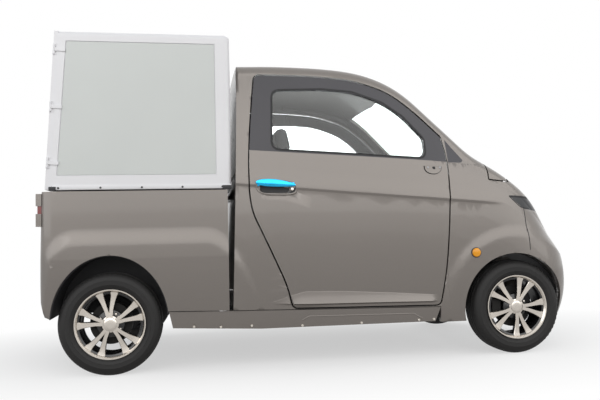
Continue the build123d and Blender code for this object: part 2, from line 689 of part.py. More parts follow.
blocks = [outside(block_a), outside(block_b)]
lens = outside(lens)
tail_blocks = blocks + [mirrored(b) for b in blocks]
tail_lenses = [lens, mirrored(lens)]

# Deck that carries the cargo box
deck_front_x = bed_front_share * wheelbase - seam_gap
deck_rear_x = tail_x + wall + cross_width
deck_half = bed_top_share[0] * half_width - wall - 2 * seat_gap
bed_deck = block(deck_rear_x, deck_front_x, -deck_half, deck_half, deck_low, deck_top)

# Cargo box: a closed body open at the back, and an overlaid rear door
box_low = bed_top_share[1] * cab_height + box_gap
box_high = 1802.0
box_front_x = side_point((-0.2170, 0))[0]
box_rear_low_x = side_point((-0.6418, 0))[0]
box_rear_high_x = side_point((-0.6201, 0))[0]
box_lean = (box_rear_high_x - box_rear_low_x) / (box_high - box_low)
body_rear_low = box_rear_low_x + door_leaf + seat_gap
body_rear_high = box_rear_high_x + door_leaf + seat_gap
box_side = [(body_rear_low, box_low), (body_rear_high, box_high),
            (box_front_x, box_high), (box_front_x, box_low)]
box_body = side_solid(box_side, box_half_width)
box_body = fillet(box_body.edges().filter_by(lambda e: abs(e.center().X - box_front_x) < seat_gap
                                             and e.center().Z > box_low + seam_gap
                                             or abs(e.center().Z - box_high) < seat_gap
                                             and e.center().X > body_rear_high + seam_gap),
                  box_corner_radius)
room = [(body_rear_low - overrun, box_low + box_wall),
        (body_rear_high - overrun, box_high - box_wall),
        (box_front_x - box_wall, box_high - box_wall), (box_front_x - box_wall, box_low + box_wall)]
box_body = box_body - side_solid(room, box_half_width - box_wall)
panel_side = [(box_rear_low_x + panel_rear_margin, box_low + panel_foot_margin),
              (box_rear_high_x + panel_rear_margin, box_high - panel_head_margin),
              (box_front_x - panel_front_margin, box_high - panel_head_margin),
              (box_front_x - panel_front_margin, box_low + panel_foot_margin)]
panel_flat = offset(make_face(Plane.XZ * Polyline(*panel_side, close=True)), amount=-4.0)
for side in (-1, 1):
    recess_tool = side_run(panel_side, side * (box_half_width - box_panel_recess),
                           side * (box_half_width + overrun))
    box_body = box_body - recess_tool
box_shell = box_body
panel_y = -box_half_width + box_panel_recess - box_panel_thickness / 2 - seat_gap
panel_right = Pos(0, panel_y, 0) * extrude(panel_flat, amount=box_panel_thickness / 2, both=True)
box_panels = [panel_right, mirrored(panel_right)]
bearer_x = (box_rear_low_x + 120.0, rear_axle_x, box_front_x - 160.0)
box_bearers = [block(x, x + cross_width, -deck_half + overrun, deck_half - overrun, deck_top, box_low)
               for x in bearer_x]

leaf = [(box_rear_low_x, box_low + seam_gap), (box_rear_low_x + box_lean * (box_high - box_low),
        box_high - seam_gap), (body_rear_high - seat_gap, box_high - seam_gap),
        (body_rear_low - seat_gap, box_low + seam_gap)]
box_door = side_solid(leaf, box_half_width - seam_gap)
lean_angle = degrees(atan(box_lean))
box_hinge_y = -box_half_width - eye_radius + seam_gap
box_hinge_z = (box_low + 0.17 * (box_high - box_low), box_low + 0.52 * (box_high - box_low),
               box_low + 0.88 * (box_high - box_low))
box_hinge_x = box_rear_low_x + eye_radius
box_hinges = []
for z in box_hinge_z:
    centre = (box_hinge_x + box_lean * (z - box_low), box_hinge_y, z)
    spin = Pos(*centre) * Rot(0, lean_angle, 0)
    pin = spin * Cylinder(eye_radius / 2, 3 * knuckle_height)
    middle_eye = spin * Cylinder(eye_radius, knuckle_height)
    plate = spin * Pos(door_leaf + eye_radius, 0, 0) * Box(
        2 * door_leaf + 2 * eye_radius, 2 * seam_gap, knuckle_height)
    fixed = (middle_eye + plate + pin) - box_body
    box_hinges.append(main_solids(fixed)[0])
    for side in (-1, 1):
        ear = spin * Pos(0, 0, side * (knuckle_height + seam_gap / 6)) * Cylinder(
            eye_radius, knuckle_height)
        lug = spin * Pos(0, eye_radius + seam_gap, side * (knuckle_height + seam_gap / 6)) * Box(
            2 * eye_radius, 2 * eye_radius + 2 * seam_gap, knuckle_height)
        hole = spin * Pos(0, 0, side * (knuckle_height + seam_gap / 6)) * Cylinder(
            eye_radius / 2 + pin_clearance, knuckle_height + seam_gap)
        box_door = box_door + ((ear + lug) - hole)
        box_door = box_door - hole

# Quarter trims ahead of the doors' window frames
quarter_tool = side_solid([side_point(s) for s in quarter_shares], body_reach)
cab_body = cab_shell[0]
quarter_trims = main_solids(cab_body & quarter_tool)
cab_body = cab_body - quarter_tool
cab_body = cab_body - bonnet_hinge
cab_shell = main_solids(cab_body)

# Seats on their bases
seats = []
seat_rear_x = seat_front_x - seat_length
for side in (-1, 1):
    y = side * seat_spread
    base = block(seat_rear_x + 40.0, seat_front_x - 40.0, y - seat_width / 2 + 40.0,
                 y + seat_width / 2 - 40.0, floor_top, seat_top - cushion_depth)
    cushion = block(seat_rear_x, seat_front_x, y - seat_width / 2, y + seat_width / 2,
                    seat_top - cushion_depth, seat_top)
    cushion = fillet(cushion.edges().filter_by(Axis.X), 30.0)
    back = Box(back_thickness, seat_width, back_height)
    back = fillet(back.edges().filter_by(Axis.X), 60.0)
    back = Pos(seat_rear_x + seat_back_inset, y, seat_top - 50.0) * Rot(0, -back_lean, 0) * Pos(
        -back_thickness / 2, 0, back_height / 2) * back
    head = Box(head_thickness, head_width, head_height)
    head = fillet(head.edges().filter_by(Axis.X), 40.0)
    head = Pos(seat_rear_x + seat_back_inset, y, seat_top - 50.0) * Rot(0, -back_lean, 0) * Pos(
        -back_thickness / 2, 0, back_height + head_gap + head_height / 2) * head
    rods = [Pos(seat_rear_x + seat_back_inset, y, seat_top - 50.0) * Rot(0, -back_lean, 0) * Pos(
        -back_thickness / 2, dy, back_height + 10.0) * Cylinder(6.0, 40.0)
        for dy in (-60.0, 60.0)]
    seats.append(main_solids(base + cushion + back + head + rods[0] + rods[1])[0])

# Dashboard and steering column
dash_rear_x = firewall_x - floor_thickness - dash_depth
dash_side = [(firewall_x - floor_thickness, dash_bottom), (firewall_x - floor_thickness, dash_top - 30.0),
             (dash_rear_x + 60.0, dash_top), (dash_rear_x, dash_top - 70.0),
             (dash_rear_x + 30.0, dash_bottom)]
dash_half = pillar_face_y - pillar_thickness - 4.0
dash = side_solid(dash_side, dash_half)
hood = block(dash_rear_x - 10.0, dash_rear_x + 130.0, steer_wheel_y - 120.0, steer_wheel_y + 120.0,
             dash_top - 60.0, dash_top + 55.0)
dash = dash + fillet(hood.edges().filter_by(Axis.Y), 20.0)
wheel_turn = Pos(steer_wheel_x, steer_wheel_y, steer_wheel_z) * Rot(0, steer_lean, 0)
column_length = 260.0
column = wheel_turn * Pos(0, 0, 28.0 + seat_gap + column_length / 2) * Cylinder(column_radius, column_length)
dashboard = main_solids(dash + column)[0]
spoke_reach = 2 * steer_wheel_radius
steering_wheel = Torus(steer_wheel_radius, steer_rim_radius)
steering_wheel = steering_wheel + Box(spoke_reach, 2 * steer_rim_radius, steer_rim_radius)
steering_wheel = steering_wheel + Pos(0, 0, steer_rim_radius) * Cylinder(45.0, 28.0)
steering_wheel = wheel_turn * steering_wheel

# Heavy masses
battery_rear_x = rocker_rear_x + cross_width + seat_gap
battery_front_x = rocker_front_x - cross_width - seat_gap
battery_pack = block(battery_rear_x, battery_front_x, -battery_width / 2, battery_width / 2,
                     rail_top - battery_depth, rail_top - seat_gap)
axle_reach = wheel_outer_y - 116.0 - seat_gap
rear_axle = Pos(rear_axle_x, 0, tyre_radius) * (
    Rot(90, 0, 0) * Cylinder(axle_tube_radius, 2 * axle_reach)
    + Rot(90, 0, 0) * Cylinder(motor_radius, motor_length))
spring_list = []
spring_low_z = tyre_radius + axle_tube_radius
for side in (-1, 1):
    a = (rear_axle_x - spring_half_length, spring_low_z + spring_drop)
    b = (rear_axle_x, spring_low_z)
    c = (rear_axle_x + spring_half_length, spring_low_z + spring_drop)
    low = ThreePointArc(a, b, c)
    a2, b2, c2 = [(p[0], p[1] + spring_thickness) for p in (a, b, c)]
    high = ThreePointArc(a2, b2, c2)
    face = make_face(Plane.XZ * (low + Line(c, c2) + high + Line(a2, a)))
    leafs = Pos(0, side * (rail_out + spring_width / 2), 0) * extrude(face, amount=spring_width / 2, both=True)
    for x in (a[0] + 20.0, c[0] - 20.0):
        shackle = block(x - 15.0, x + 15.0, side * (rail_out + spring_width / 2 - 15.0),
                        side * (rail_out + spring_width / 2 + 15.0), a[1] + 6.0,
                        rail_top + rear_rail_rise)
        hanger = block(x - 15.0, x + 15.0, side * rail_out, side * (rail_out + spring_width / 2 + 15.0),
                       rail_low + rear_rail_rise, rail_top + rear_rail_rise)
        leafs = leafs + shackle + hanger
    spring_list.append(main_solids(leafs - rear_axle)[0])
rear_springs = spring_list

# Front suspension, knuckles and steering rack
wheel_y = wheel_outer_y - tyre_width / 2
kingpin_y = wheel_y - kingpin_inset
ball_z = (tyre_radius - ball_reach, tyre_radius + ball_reach)


def bar_between(p, q, width, depth):
    direction = Vector(*q) - Vector(*p)
    plane = Plane(origin=Vector(*p), x_dir=Vector(1, 0, 0), z_dir=direction)
    return extrude(plane * Rectangle(width, depth), amount=direction.length)


arms = []
for z, inner_z in ((ball_z[0] - seat_gap - boss_height / 2, rail_low + 20.0),
                   (ball_z[1] + seat_gap + boss_height / 2, rail_top + 60.0)):
    boss = Pos(front_axle_x, -kingpin_y, z) * Cylinder(boss_radius, boss_height)
    tower_face = rail_out if inner_z < rail_top else rail_out + tower_width / 2
    arm = bar_between((front_axle_x, -kingpin_y, z), (front_axle_x, -tower_face + overrun / 4, inner_z),
                      arm_width, boss_height * 0.8)
    swing_room = Pos(front_axle_x, -kingpin_y, tyre_radius) * Cylinder(
        ball_clear, 2 * (ball_reach + seat_gap))
    piece = (boss + arm) - chassis_frame - towers[1] - swing_room
    arms.append(main_solids(piece)[0])
coil_foot = (front_axle_x, -rail_out - 2.2 * coil_radius, rail_low - 14.0)
coil_head = (front_axle_x, -rail_out - coil_radius, arch_top - 60.0)
coil = bar_between(coil_foot, coil_head, coil_radius, coil_radius)
coil_can = extrude(Plane(origin=Vector(*coil_foot), z_dir=Vector(*coil_head) - Vector(*coil_foot))
                   * Circle(coil_radius), amount=(Vector(*coil_head) - Vector(*coil_foot)).length)
coil_can = main_solids(coil_can - towers[1] - arms[0] - arms[1] - chassis_frame)[0]
arms.append(coil_can)
front_suspension = arms + [mirrored(a) for a in arms]

post = Pos(front_axle_x, -kingpin_y, tyre_radius) * Cylinder(boss_radius - 2.0, 2 * ball_reach)
hub_back_y = wheel_outer_y - 92.0
housing = Pos(front_axle_x, -(kingpin_y - boss_radius / 2 - 3.0), tyre_radius) * (
    Rot(90, 0, 0) * Cylinder(housing_radius, 2 * (hub_back_y - seat_gap - (kingpin_y - boss_radius / 2 - 3.0))))
steer_arm = block(front_axle_x - 120.0, front_axle_x, -kingpin_y + 10.0, -kingpin_y + 34.0,
                  tyre_radius - 30.0, tyre_radius - 10.0)
caliper = block(front_axle_x - disc_radius - 14.0, front_axle_x - 80.0, -wheel_outer_y + 50.0,
                -kingpin_y + 14.0, tyre_radius - 36.0, tyre_radius + 46.0)
disc_slot = Pos(front_axle_x, -hub_back_y - 16.0, tyre_radius) * (
    Rot(90, 0, 0) * Cylinder(disc_radius + 6.0, disc_thickness + 10.0))
knuckle_right = main_solids((post + housing + steer_arm + caliper) - disc_slot - (
    Pos(front_axle_x, -wheel_outer_y, tyre_radius) * (Rot(90, 0, 0) * Cylinder(
        hub_face_radius + 8.0, 2 * (wheel_outer_y - hub_back_y)))))[0]
steering_rack = Pos(front_axle_x - 190.0, 0, rail_top + rack_radius + 3.0) * (
    Rot(90, 0, 0) * Cylinder(rack_radius, 2 * rail_in))
rack_feet = [block(front_axle_x - 210.0, front_axle_x - 170.0, s * rail_in - 20.0, s * rail_in + 20.0,
                   rail_top, rail_top + rack_radius) for s in (-1, 1)]
steering_rack = main_solids(steering_rack + rack_feet[0] + rack_feet[1])[0]

# Liners over the front wheels
liner_ring = (Pos(front_axle_x + front_arch_shift, -(rail_out + 620.0) / 2 + 20.0, tyre_radius)
              * (Rot(90, 0, 0) * (Cylinder(front_arch_radius + liner_thickness, 600.0 - rail_out + 50.0)
                                  - Cylinder(front_arch_radius, 700.0))))
liner_keep = block(front_axle_x - 2 * front_arch_radius, front_axle_x + 2 * front_arch_radius,
                   -body_reach, 0, tyre_radius + 60.0, cab_height)
liner = main_solids((liner_ring & liner_keep) & cab_loft(wall + seam_gap))[0]
rear_arc = Plane.XZ * (Pos(rear_axle_x, tyre_radius) * (
    Ellipse(rear_arch_half_length - seat_gap, rear_arch_height - seat_gap)
    - Ellipse(rear_arch_half_length - liner_thickness, rear_arch_height - liner_thickness)))
rear_disc = Plane.XZ * (Pos(rear_axle_x, tyre_radius) * Ellipse(
    rear_arch_half_length - seat_gap, rear_arch_height - seat_gap))
rear_ring = Pos(0, -rear_liner_out_y, 0) * extrude(rear_arc, amount=rear_liner_in_y - rear_liner_out_y)
rear_wall = Pos(0, -rear_liner_in_y, 0) * extrude(rear_disc, amount=liner_thickness)
rear_keep = block(rear_axle_x - body_reach, rear_axle_x + body_reach, -body_reach, 0,
                  tyre_radius + rear_liner_foot, cab_height)
rear_liner = main_solids((rear_ring + rear_wall) & rear_keep)[0]
arch_liners = [liner, mirrored(liner), rear_liner, mirrored(rear_liner)]

# Wheels
def tyre_solid():
    half = tyre_width / 2
    profile = [(rim_inner_radius + 14.0, -half + 24.0), (rim_radius, -half + 10.0),
               (rim_radius + 34.0, -half), (tyre_radius - 26.0, -half + 4.0),
               (tyre_radius - 6.0, -half + 20.0), (tyre_radius, -half + 34.0)]
    full = profile + [(r, -y) for r, y in reversed(profile)]
    face = make_face(Plane.XY * Polyline(*full, close=True))
    return Rot(90, 0, 0) * Rot(0, 0, 0) * revolve(Plane.XZ * face, Axis.Z)


def rim_solid():
    half = tyre_width / 2
    lip = rim_inner_radius + 14.0
    profile = [(rim_inner_radius, -half + 14.0), (rim_radius - 6.0, -half + 4.0),
               (rim_radius - seat_gap, -half + 10.0 - seat_gap), (lip - seat_gap, -half + 24.0),
               (lip - seat_gap, half - 24.0), (rim_radius - seat_gap, half - 10.0 + seat_gap),
               (rim_radius - 6.0, half - 4.0), (rim_inner_radius, half - 14.0)]
    face = make_face(Plane.XY * Polyline(*profile, close=True))
    barrel = Rot(90, 0, 0) * revolve(Plane.XZ * face, Axis.Z)
    outer_face_y = -half + 14.0
    hub = Pos(0, outer_face_y + 14.0 + 15.0, 0) * (Rot(90, 0, 0) * Cylinder(hub_face_radius + 26.0, 30.0))
    spokes = []
    for i in range(spoke_pairs):
        for spread in (-spoke_spread_angle / 2, spoke_spread_angle / 2):
            angle = 360.0 / spoke_pairs * i + 90.0
            outer_mid = (rim_inner_radius + 6.0) * cos(radians(spread)), (rim_inner_radius + 6.0) * sin(radians(spread))
            inner_mid = 40.0, (hub_face_radius * 0.45) * (1 if spread > 0 else -1)
            pts = [(inner_mid[0], inner_mid[1] - spoke_width_inner / 2), (outer_mid[0], outer_mid[1] - spoke_width_outer / 2),
                   (outer_mid[0], outer_mid[1] + spoke_width_outer / 2), (inner_mid[0], inner_mid[1] + spoke_width_inner / 2)]
            spoke = extrude(Plane.XZ * make_face(Polyline(*pts, close=True)), amount=-spoke_depth)
            spokes.append(Pos(0, outer_face_y + 4.0, 0) * Rot(0, angle, 0) * spoke)
    wheel = barrel + hub
    for spoke in spokes:
        wheel = wheel + spoke
    for i in range(nut_count):
        turn = radians(360.0 / nut_count * i + 45.0)
        wheel = wheel - Pos(nut_circle / 2 * cos(turn), outer_face_y + 10.0, nut_circle / 2 * sin(turn)) * (
            Rot(90, 0, 0) * Cylinder(nut_pocket_radius, 20.0))
    wheel = wheel - Pos(0, outer_face_y, 0) * (Rot(90, 0, 0) * Cylinder(hub_face_radius * 0.7, 40.0))
    return wheel


half_tyre = tyre_width / 2
tyre = tyre_solid()
rim = rim_solid()
hub_front_y = -half_tyre + 58.0
disc_y = -half_tyre + 94.0
front_disc = (Pos(0, (hub_front_y + disc_y - 12.0) / 2, 0) * (Rot(90, 0, 0) * Cylinder(62.0, disc_y - 12.0 - hub_front_y))
              + Pos(0, disc_y - 18.0, 0) * (Rot(90, 0, 0) * Cylinder(disc_radius, disc_thickness))
              + Pos(0, disc_y - 9.0, 0) * (Rot(90, 0, 0) * Cylinder(42.0, 14.0)))
rear_drum = Pos(0, (hub_front_y + disc_y) / 2 + 11.0, 0) * (Rot(90, 0, 0) * Cylinder(drum_radius, disc_y - hub_front_y + 22.0))
for side, mirror_it in (("right", False), ("left", True)):
    for end, x in (("front", front_axle_x), ("rear", rear_axle_x)):
        brake = front_disc if end == "front" else rear_drum
        for label, piece in (("tyre", tyre), ("rim", rim), ("brake", brake)):
            placed = Pos(x, -wheel_y, tyre_radius) * piece
            save(label + "_" + end + "_" + side, mirrored(placed) if mirror_it else placed)
    for label, piece in (("door_panel", door_panel), ("door_frame", door_frame),
                         ("door_glass", door_glass), ("door_handle", door_handle),
                         ("knuckle", knuckle_right)):
        save(label + "_" + side, mirrored(piece) if mirror_it else piece)

for name, pieces in (
        ("chassis_frame", chassis_frame), ("suspension_towers", towers), ("floor_pan", floor_pan),
        ("hinge_pillars", hinge_pillars), ("cab_shell", cab_shell), ("windscreen", windscreen),
        ("quarter_trims", quarter_trims), ("front_wings", wings), ("front_panel", front_panel),
        ("headlamps", headlamps), ("front_bumper", front_bumper), ("bonnet", bonnet),
        ("bonnet_hinge", bonnet_hinge),
        ("arch_liners", arch_liners), ("sills", sills), ("bed_sides", bed_sides),
        ("tail_panel", tail_panel), ("tail_blocks", tail_blocks), ("tail_lenses", tail_lenses),
        ("bed_deck", bed_deck), ("box_bearers", box_bearers), ("box_shell", box_shell),
        ("box_panels", box_panels), ("box_door", box_door), ("box_hinges", box_hinges),
        ("seats", seats), ("dashboard", dashboard), ("steering_wheel", steering_wheel),
        ("battery_pack", battery_pack), ("rear_axle", rear_axle), ("rear_springs", rear_springs),
        ("front_suspension", front_suspension), ("steering_rack", steering_rack)):
    save(name, pieces)
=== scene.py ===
import bpy, bmesh
from math import cos, pi, radians, sin, sqrt
from mathutils import Matrix, Vector
from mathutils.bvhtree import BVHTree


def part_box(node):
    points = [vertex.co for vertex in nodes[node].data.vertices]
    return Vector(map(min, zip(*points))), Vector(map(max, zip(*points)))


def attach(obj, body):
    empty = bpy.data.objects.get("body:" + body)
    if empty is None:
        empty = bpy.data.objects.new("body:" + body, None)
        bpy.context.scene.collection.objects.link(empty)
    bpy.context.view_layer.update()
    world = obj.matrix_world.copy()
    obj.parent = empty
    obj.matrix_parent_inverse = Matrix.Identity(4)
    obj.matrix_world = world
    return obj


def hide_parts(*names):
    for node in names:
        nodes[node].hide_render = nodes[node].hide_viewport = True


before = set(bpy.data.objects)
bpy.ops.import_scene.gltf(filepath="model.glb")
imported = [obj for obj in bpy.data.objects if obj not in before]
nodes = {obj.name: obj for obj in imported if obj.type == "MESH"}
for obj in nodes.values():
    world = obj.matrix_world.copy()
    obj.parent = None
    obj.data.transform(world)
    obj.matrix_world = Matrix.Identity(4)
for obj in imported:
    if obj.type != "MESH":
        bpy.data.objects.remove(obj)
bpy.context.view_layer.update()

# ---------------------------------------------------------------- chassis
# Welded steel rails, springs, axle and steering gear, all in black enamel, with a
# primed floor, plastic wheel wells and a coated battery case. These are solids of
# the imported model: they keep their shape, and each gets its real finish here.


# Colours are written as they are seen, and turned to linear light here.
def linear(text):
    out = []
    for i in (1, 3, 5):
        c = int(text[i:i + 2], 16) / 255.0
        out.append(c / 12.92 if c <= 0.04045 else ((c + 0.055) / 1.055) ** 2.4)
    return (out[0], out[1], out[2], 1.0)


# Adds a shader node. A plain value sets an input; another node's output is linked to it.
def shader(tree, kind, inputs=None, **settings):
    made = tree.nodes.new("ShaderNode" + kind)
    for key, value in settings.items():
        setattr(made, key, value)
    for key, value in (inputs or {}).items():
        if isinstance(value, bpy.types.NodeSocket):
            tree.links.new(value, made.inputs[key])
        else:
            made.inputs[key].default_value = value
    return made


# A surface with its own colour. A broad noise varies the colour. A fine one, where a
# grain of 400 is cells of 2.5 mm, varies the gloss and raises the surface by up to
# bump times 1 mm.
def finish(name, colour, rough, metal=0.0, coat=0.0, vary=0.06, grain=400.0, bump=0.02,
           broad=3.0, sheen=0.0, flakes=0.0):
    m = bpy.data.materials.new(name)
    m.use_nodes = True
    t = m.node_tree
    p = t.nodes["Principled BSDF"]
    p.inputs["Metallic"].default_value = metal
    p.inputs["Coat Weight"].default_value = coat
    p.inputs["Coat Roughness"].default_value = 0.06
    p.inputs["Sheen Weight"].default_value = sheen
    where = shader(t, "TexCoord").outputs["Object"]
    wide = shader(t, "TexNoise", {"Vector": where, "Scale": broad})
    fine = shader(t, "TexNoise", {"Vector": where, "Scale": grain, "Detail": 3.0})
    ramp = shader(t, "ValToRGB", {"Fac": wide.outputs["Fac"]})
    stops = ramp.color_ramp.elements
    for stop, place, share in ((stops[0], 0.3, 1 - vary), (stops[1], 0.7, 1 + vary)):
        stop.position = place
        stop.color = [min(1, c * share) for c in linear(colour)[:3]] + [1]
    shown = ramp.outputs["Color"]
    if flakes:
        cells = shader(t, "TexVoronoi", {"Vector": where, "Scale": 900.0})
        grey = shader(t, "RGBToBW", {"Color": cells.outputs["Color"]})
        mix = shader(t, "Mix", {"Factor": flakes, "A": shown, "B": grey.outputs["Val"]},
                     data_type="RGBA", blend_type="OVERLAY")
        shown = mix.outputs["Result"]
    t.links.new(shown, p.inputs["Base Color"])
    gloss = shader(t, "MapRange", {"Value": fine.outputs["Fac"],
                                   "To Min": max(0.02, rough * 0.88),
                                   "To Max": min(1.0, rough * 1.12)})
    t.links.new(gloss.outputs["Result"], p.inputs["Roughness"])
    if bump:
        raised = shader(t, "Bump", {"Height": fine.outputs["Fac"], "Strength": bump,
                                    "Distance": 0.001})
        t.links.new(raised.outputs["Normal"], p.inputs["Normal"])
    return m


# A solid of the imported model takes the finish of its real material.
def dress(look, *names):
    for name in names:
        nodes[name].data.materials.clear()
        nodes[name].data.materials.append(look)


def pair(name):
    return name + "_left", name + "_right"


# Brushed enamel is half glossy, and uneven in tone where it is thin.
black_frame = finish("chassis_black_enamel", "#1E1E20", 0.5, coat=0.1, vary=0.12, grain=120.0,
                     bump=0.05)
dress(black_frame, "chassis_frame", "suspension_towers", "rear_axle", "rear_springs",
      "front_suspension", "steering_rack", "bed_deck", "box_bearers")
# Sprayed primer is flat and dusty.
primer = finish("floor_grey_primer", "#4C4A48", 0.6, vary=0.08, grain=150.0, bump=0.05)
dress(primer, "floor_pan", "hinge_pillars")
# Sand cast iron is dark, dull and rough to the touch.
iron = finish("cast_iron_grey", "#2A2928", 0.7, metal=0.6, vary=0.12, grain=300.0, bump=0.3)
dress(iron, *pair("knuckle"), *pair("brake_front"), *pair("brake_rear"))
# Turned steel is bright, with fine tool marks.
steel = finish("turned_steel", "#8C8C8E", 0.33, metal=1.0, vary=0.08, grain=900.0, bump=0.05)
dress(steel, "bonnet_hinge")
# Moulded polypropylene is soft black, with a fine leather grain from its mould.
moulded = finish("moulded_black_plastic", "#232326", 0.58, vary=0.08, grain=700.0, bump=0.15)
dress(moulded, "arch_liners")
# Baked powder coat has a small, even orange peel.
battery_coat = finish("battery_case_dark_powder", "#2A2C30", 0.55, vary=0.08, grain=500.0,
                      bump=0.15)
dress(battery_coat, "battery_pack")

# ---------------------------------------------------------------- tyres
# Moulded rubber tyres, 531 mm across, pressed on to the rims. Each is a turned
# section with raised rings on its walls, four grooves round the tread, and slots
# between the shoulder blocks.
datum_shift = 0.0355256     # from the middle of the wheelbase to the middle of the model
front_x, rear_x = 1.128 - datum_shift, -1.128 - datum_shift
wheel_y, wheel_z = 0.6125, 0.2655
tyre_wall = [
    (0.166, -0.052), (0.172, -0.060), (0.1795, -0.0665), (0.1835, -0.0672), (0.187, -0.0695),
    (0.190, -0.0700), (0.1925, -0.0725), (0.203, -0.0762), (0.205, -0.0774), (0.207, -0.0764),
    (0.216, -0.0774), (0.2245, -0.0772), (0.226, -0.0775), (0.2275, -0.0764), (0.236, -0.0745),
    (0.246, -0.0690), (0.2525, -0.0630), (0.2575, -0.0565), (0.2612, -0.0500), (0.2618, -0.0480)]
groove_r, groove_top, groove_foot = 0.2585, 0.0052, 0.0036
slots, slot_in, slot_out = 60, (0.2628, 0.0455), (0.2552, 0.0600)
slot_wide, slot_deep = 0.0058, 0.0018
tyre_steps = 120
tread = []
for y in (-0.038, -0.013, 0.013, 0.038):
    crown = 0.2659 - abs(y) * 0.03
    tread += [(crown, y - groove_top), (groove_r, y - groove_foot), (groove_r, y + groove_foot),
              (crown, y + groove_top)]
tyre_section = tyre_wall + tread + [(r, -y) for r, y in reversed(tyre_wall)]
# Rubber is nearly black, and dull where it is scuffed.
rubber = finish("tyre_rubber", "#131212", 0.66, vary=0.12, grain=260.0, bump=0.12)
dress(rubber, *pair("tyre_front"), *pair("tyre_rear"))


# Adds a finished piece: its mesh, finishes, body, and the node it stands for.
def add(name, bm, body, mats, stands_for=(), smooth=35.0, recalc=True):
    if recalc:
        bmesh.ops.recalc_face_normals(bm, faces=bm.faces)
    mesh = bpy.data.meshes.new(name)
    bm.to_mesh(mesh)
    bm.free()
    for m in mats if isinstance(mats, (list, tuple)) else [mats]:
        mesh.materials.append(m)
    mesh.polygons.foreach_set("use_smooth", [True] * len(mesh.polygons))
    mesh.set_sharp_from_angle(angle=radians(smooth))
    o = bpy.data.objects.new(name, mesh)
    bpy.context.scene.collection.objects.link(o)
    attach(o, body)
    if stands_for:
        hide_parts(*stands_for)
    return o


# The right side is y below zero, and is the side that the photograph shows.
def both_sides(build):
    for side, word in ((-1, "right"), (1, "left")):
        build(side, word)


# Fills the wall between two rings of points.
def wall(bm, a, b, mat=0):
    made = []
    for k in range(len(a)):
        n = (k + 1) % len(a)
        made.append(bm.faces.new((a[k], a[n], b[n], b[k])))
        made[-1].material_index = mat
    return made


# Turns a profile of (radius, y) round a wheel's axis; each run has its own finish.
def lathe(bm, profile, centre, segments, mats=None):
    rings = []
    for r, y in profile:
        ring = []
        for k in range(segments):
            a = 2 * pi * k / segments
            ring.append(bm.verts.new((centre[0] + r * cos(a), centre[1] + y,
                                      centre[2] + r * sin(a))))
        rings.append(ring)
    for i in range(len(rings) - 1):
        wall(bm, rings[i], rings[i + 1], mats[i] if mats else 0)
    return rings


def tyre_pieces(side, word):
    for end, x in (("front", front_x), ("rear", rear_x)):
        place = (x, side * wheel_y, wheel_z)
        centre = Vector(place)
        bm = bmesh.new()
        rings = lathe(bm, tyre_section, place, tyre_steps)
        wall(bm, rings[-1], rings[0])
        for k in range(slots):
            a = 2 * pi * k / slots
            out, along = Vector((cos(a), 0, sin(a))), Vector((-sin(a), 0, cos(a)))
            w, up = along * slot_wide, out * slot_deep
            for s in (-1, 1):
                p = centre + out * slot_in[0] + Vector((0, s * slot_in[1], 0))
                q = centre + out * slot_out[0] + Vector((0, s * slot_out[1], 0))
                inner = [bm.verts.new(p + w + up * 0.2), bm.verts.new(p - w + up * 0.2),
                         bm.verts.new(p - w - up), bm.verts.new(p + w - up)]
                outer = [bm.verts.new(q + w + up), bm.verts.new(q - w + up),
                         bm.verts.new(q - w - up), bm.verts.new(q + w - up)]
                wall(bm, inner, outer)
                bm.faces.new(inner)
                bm.faces.new(outer)
        name = "tyre_%s_%s" % (end, word)
        add(name + "_tread", bm, "wheel_%s_%s" % (end, word), rubber,
            stands_for=(name,), smooth=32.0)


both_sides(tyre_pieces)

# ---------------------------------------------------------------- rims
# Cast alloy rims with five forked spokes. Their faces are machined bright, and the
# barrel and the pockets behind are painted black. Four nuts sit round a stepped cap.
# Profiles of radius and distance from the wheel's middle, and the finish of each run:
# 0 is the bright face, and 1 the black of the pockets.
barrel = [(0.1648, 0.052), (0.1655, 0.060), (0.1790, 0.0675), (0.1815, 0.0720), (0.1800, 0.0745),
          (0.1745, 0.0742), (0.1705, 0.0700), (0.1665, 0.0640), (0.1570, 0.0600),
          (0.1520, 0.0480), (0.1500, -0.0500), (0.1660, -0.0640), (0.1790, -0.0700),
          (0.1815, -0.0690), (0.1790, -0.0660), (0.1655, -0.0600), (0.1648, -0.0520)]
barrel_looks = [1, 1, 1, 0, 0, 0, 0, 1, 1, 1, 1, 1, 1, 1, 1, 1, 1]
rim_steps, hub_steps = 96, 64
cap = [(0.0, 0.0665), (0.020, 0.0668), (0.0300, 0.0655), (0.0330, 0.0640), (0.0335, 0.0620),
       (0.0400, 0.0615), (0.0430, 0.0600), (0.0440, 0.0560), (0.0560, 0.0450), (0.0700, 0.0400),
       (0.0725, 0.0300), (0.0725, 0.0200), (0.0, 0.0200)]
cap_looks = [0, 0, 0, 1, 0, 0, 0, 1, 1, 1, 1, 1]
# A spoke's arm from hub to rim: radius, degrees from the fork's middle, half width, set back.
arm = ((0.036, 11.0, 0.0098, 0.0), (0.075, 10.2, 0.0104, 0.0012), (0.115, 12.0, 0.0128, 0.0030),
       (0.146, 13.2, 0.0158, 0.0030), (0.1672, 13.5, 0.0225, 0.0))
# Across an arm: share of its half width, and depth behind its face.
arm_section = ((0.86, 0.0), (1.0, 0.0025), (1.05, 0.026), (-1.05, 0.026), (-1.0, 0.0025),
               (-0.86, 0.0))
spokes, spoke_face_y, nuts, nut_circle, nut_turn = 5, 0.0640, 4, 0.05715, 36
bright_faces = (4, 5, 0)        # the faces of an arm's section that are machined
# A diamond turned face under clear lacquer is bright and warm, with fine rings.
machined = finish("machined_alloy_face", "#D9D2C9", 0.24, metal=1.0, vary=0.03, grain=1200.0,
                  bump=0.03, coat=0.3)
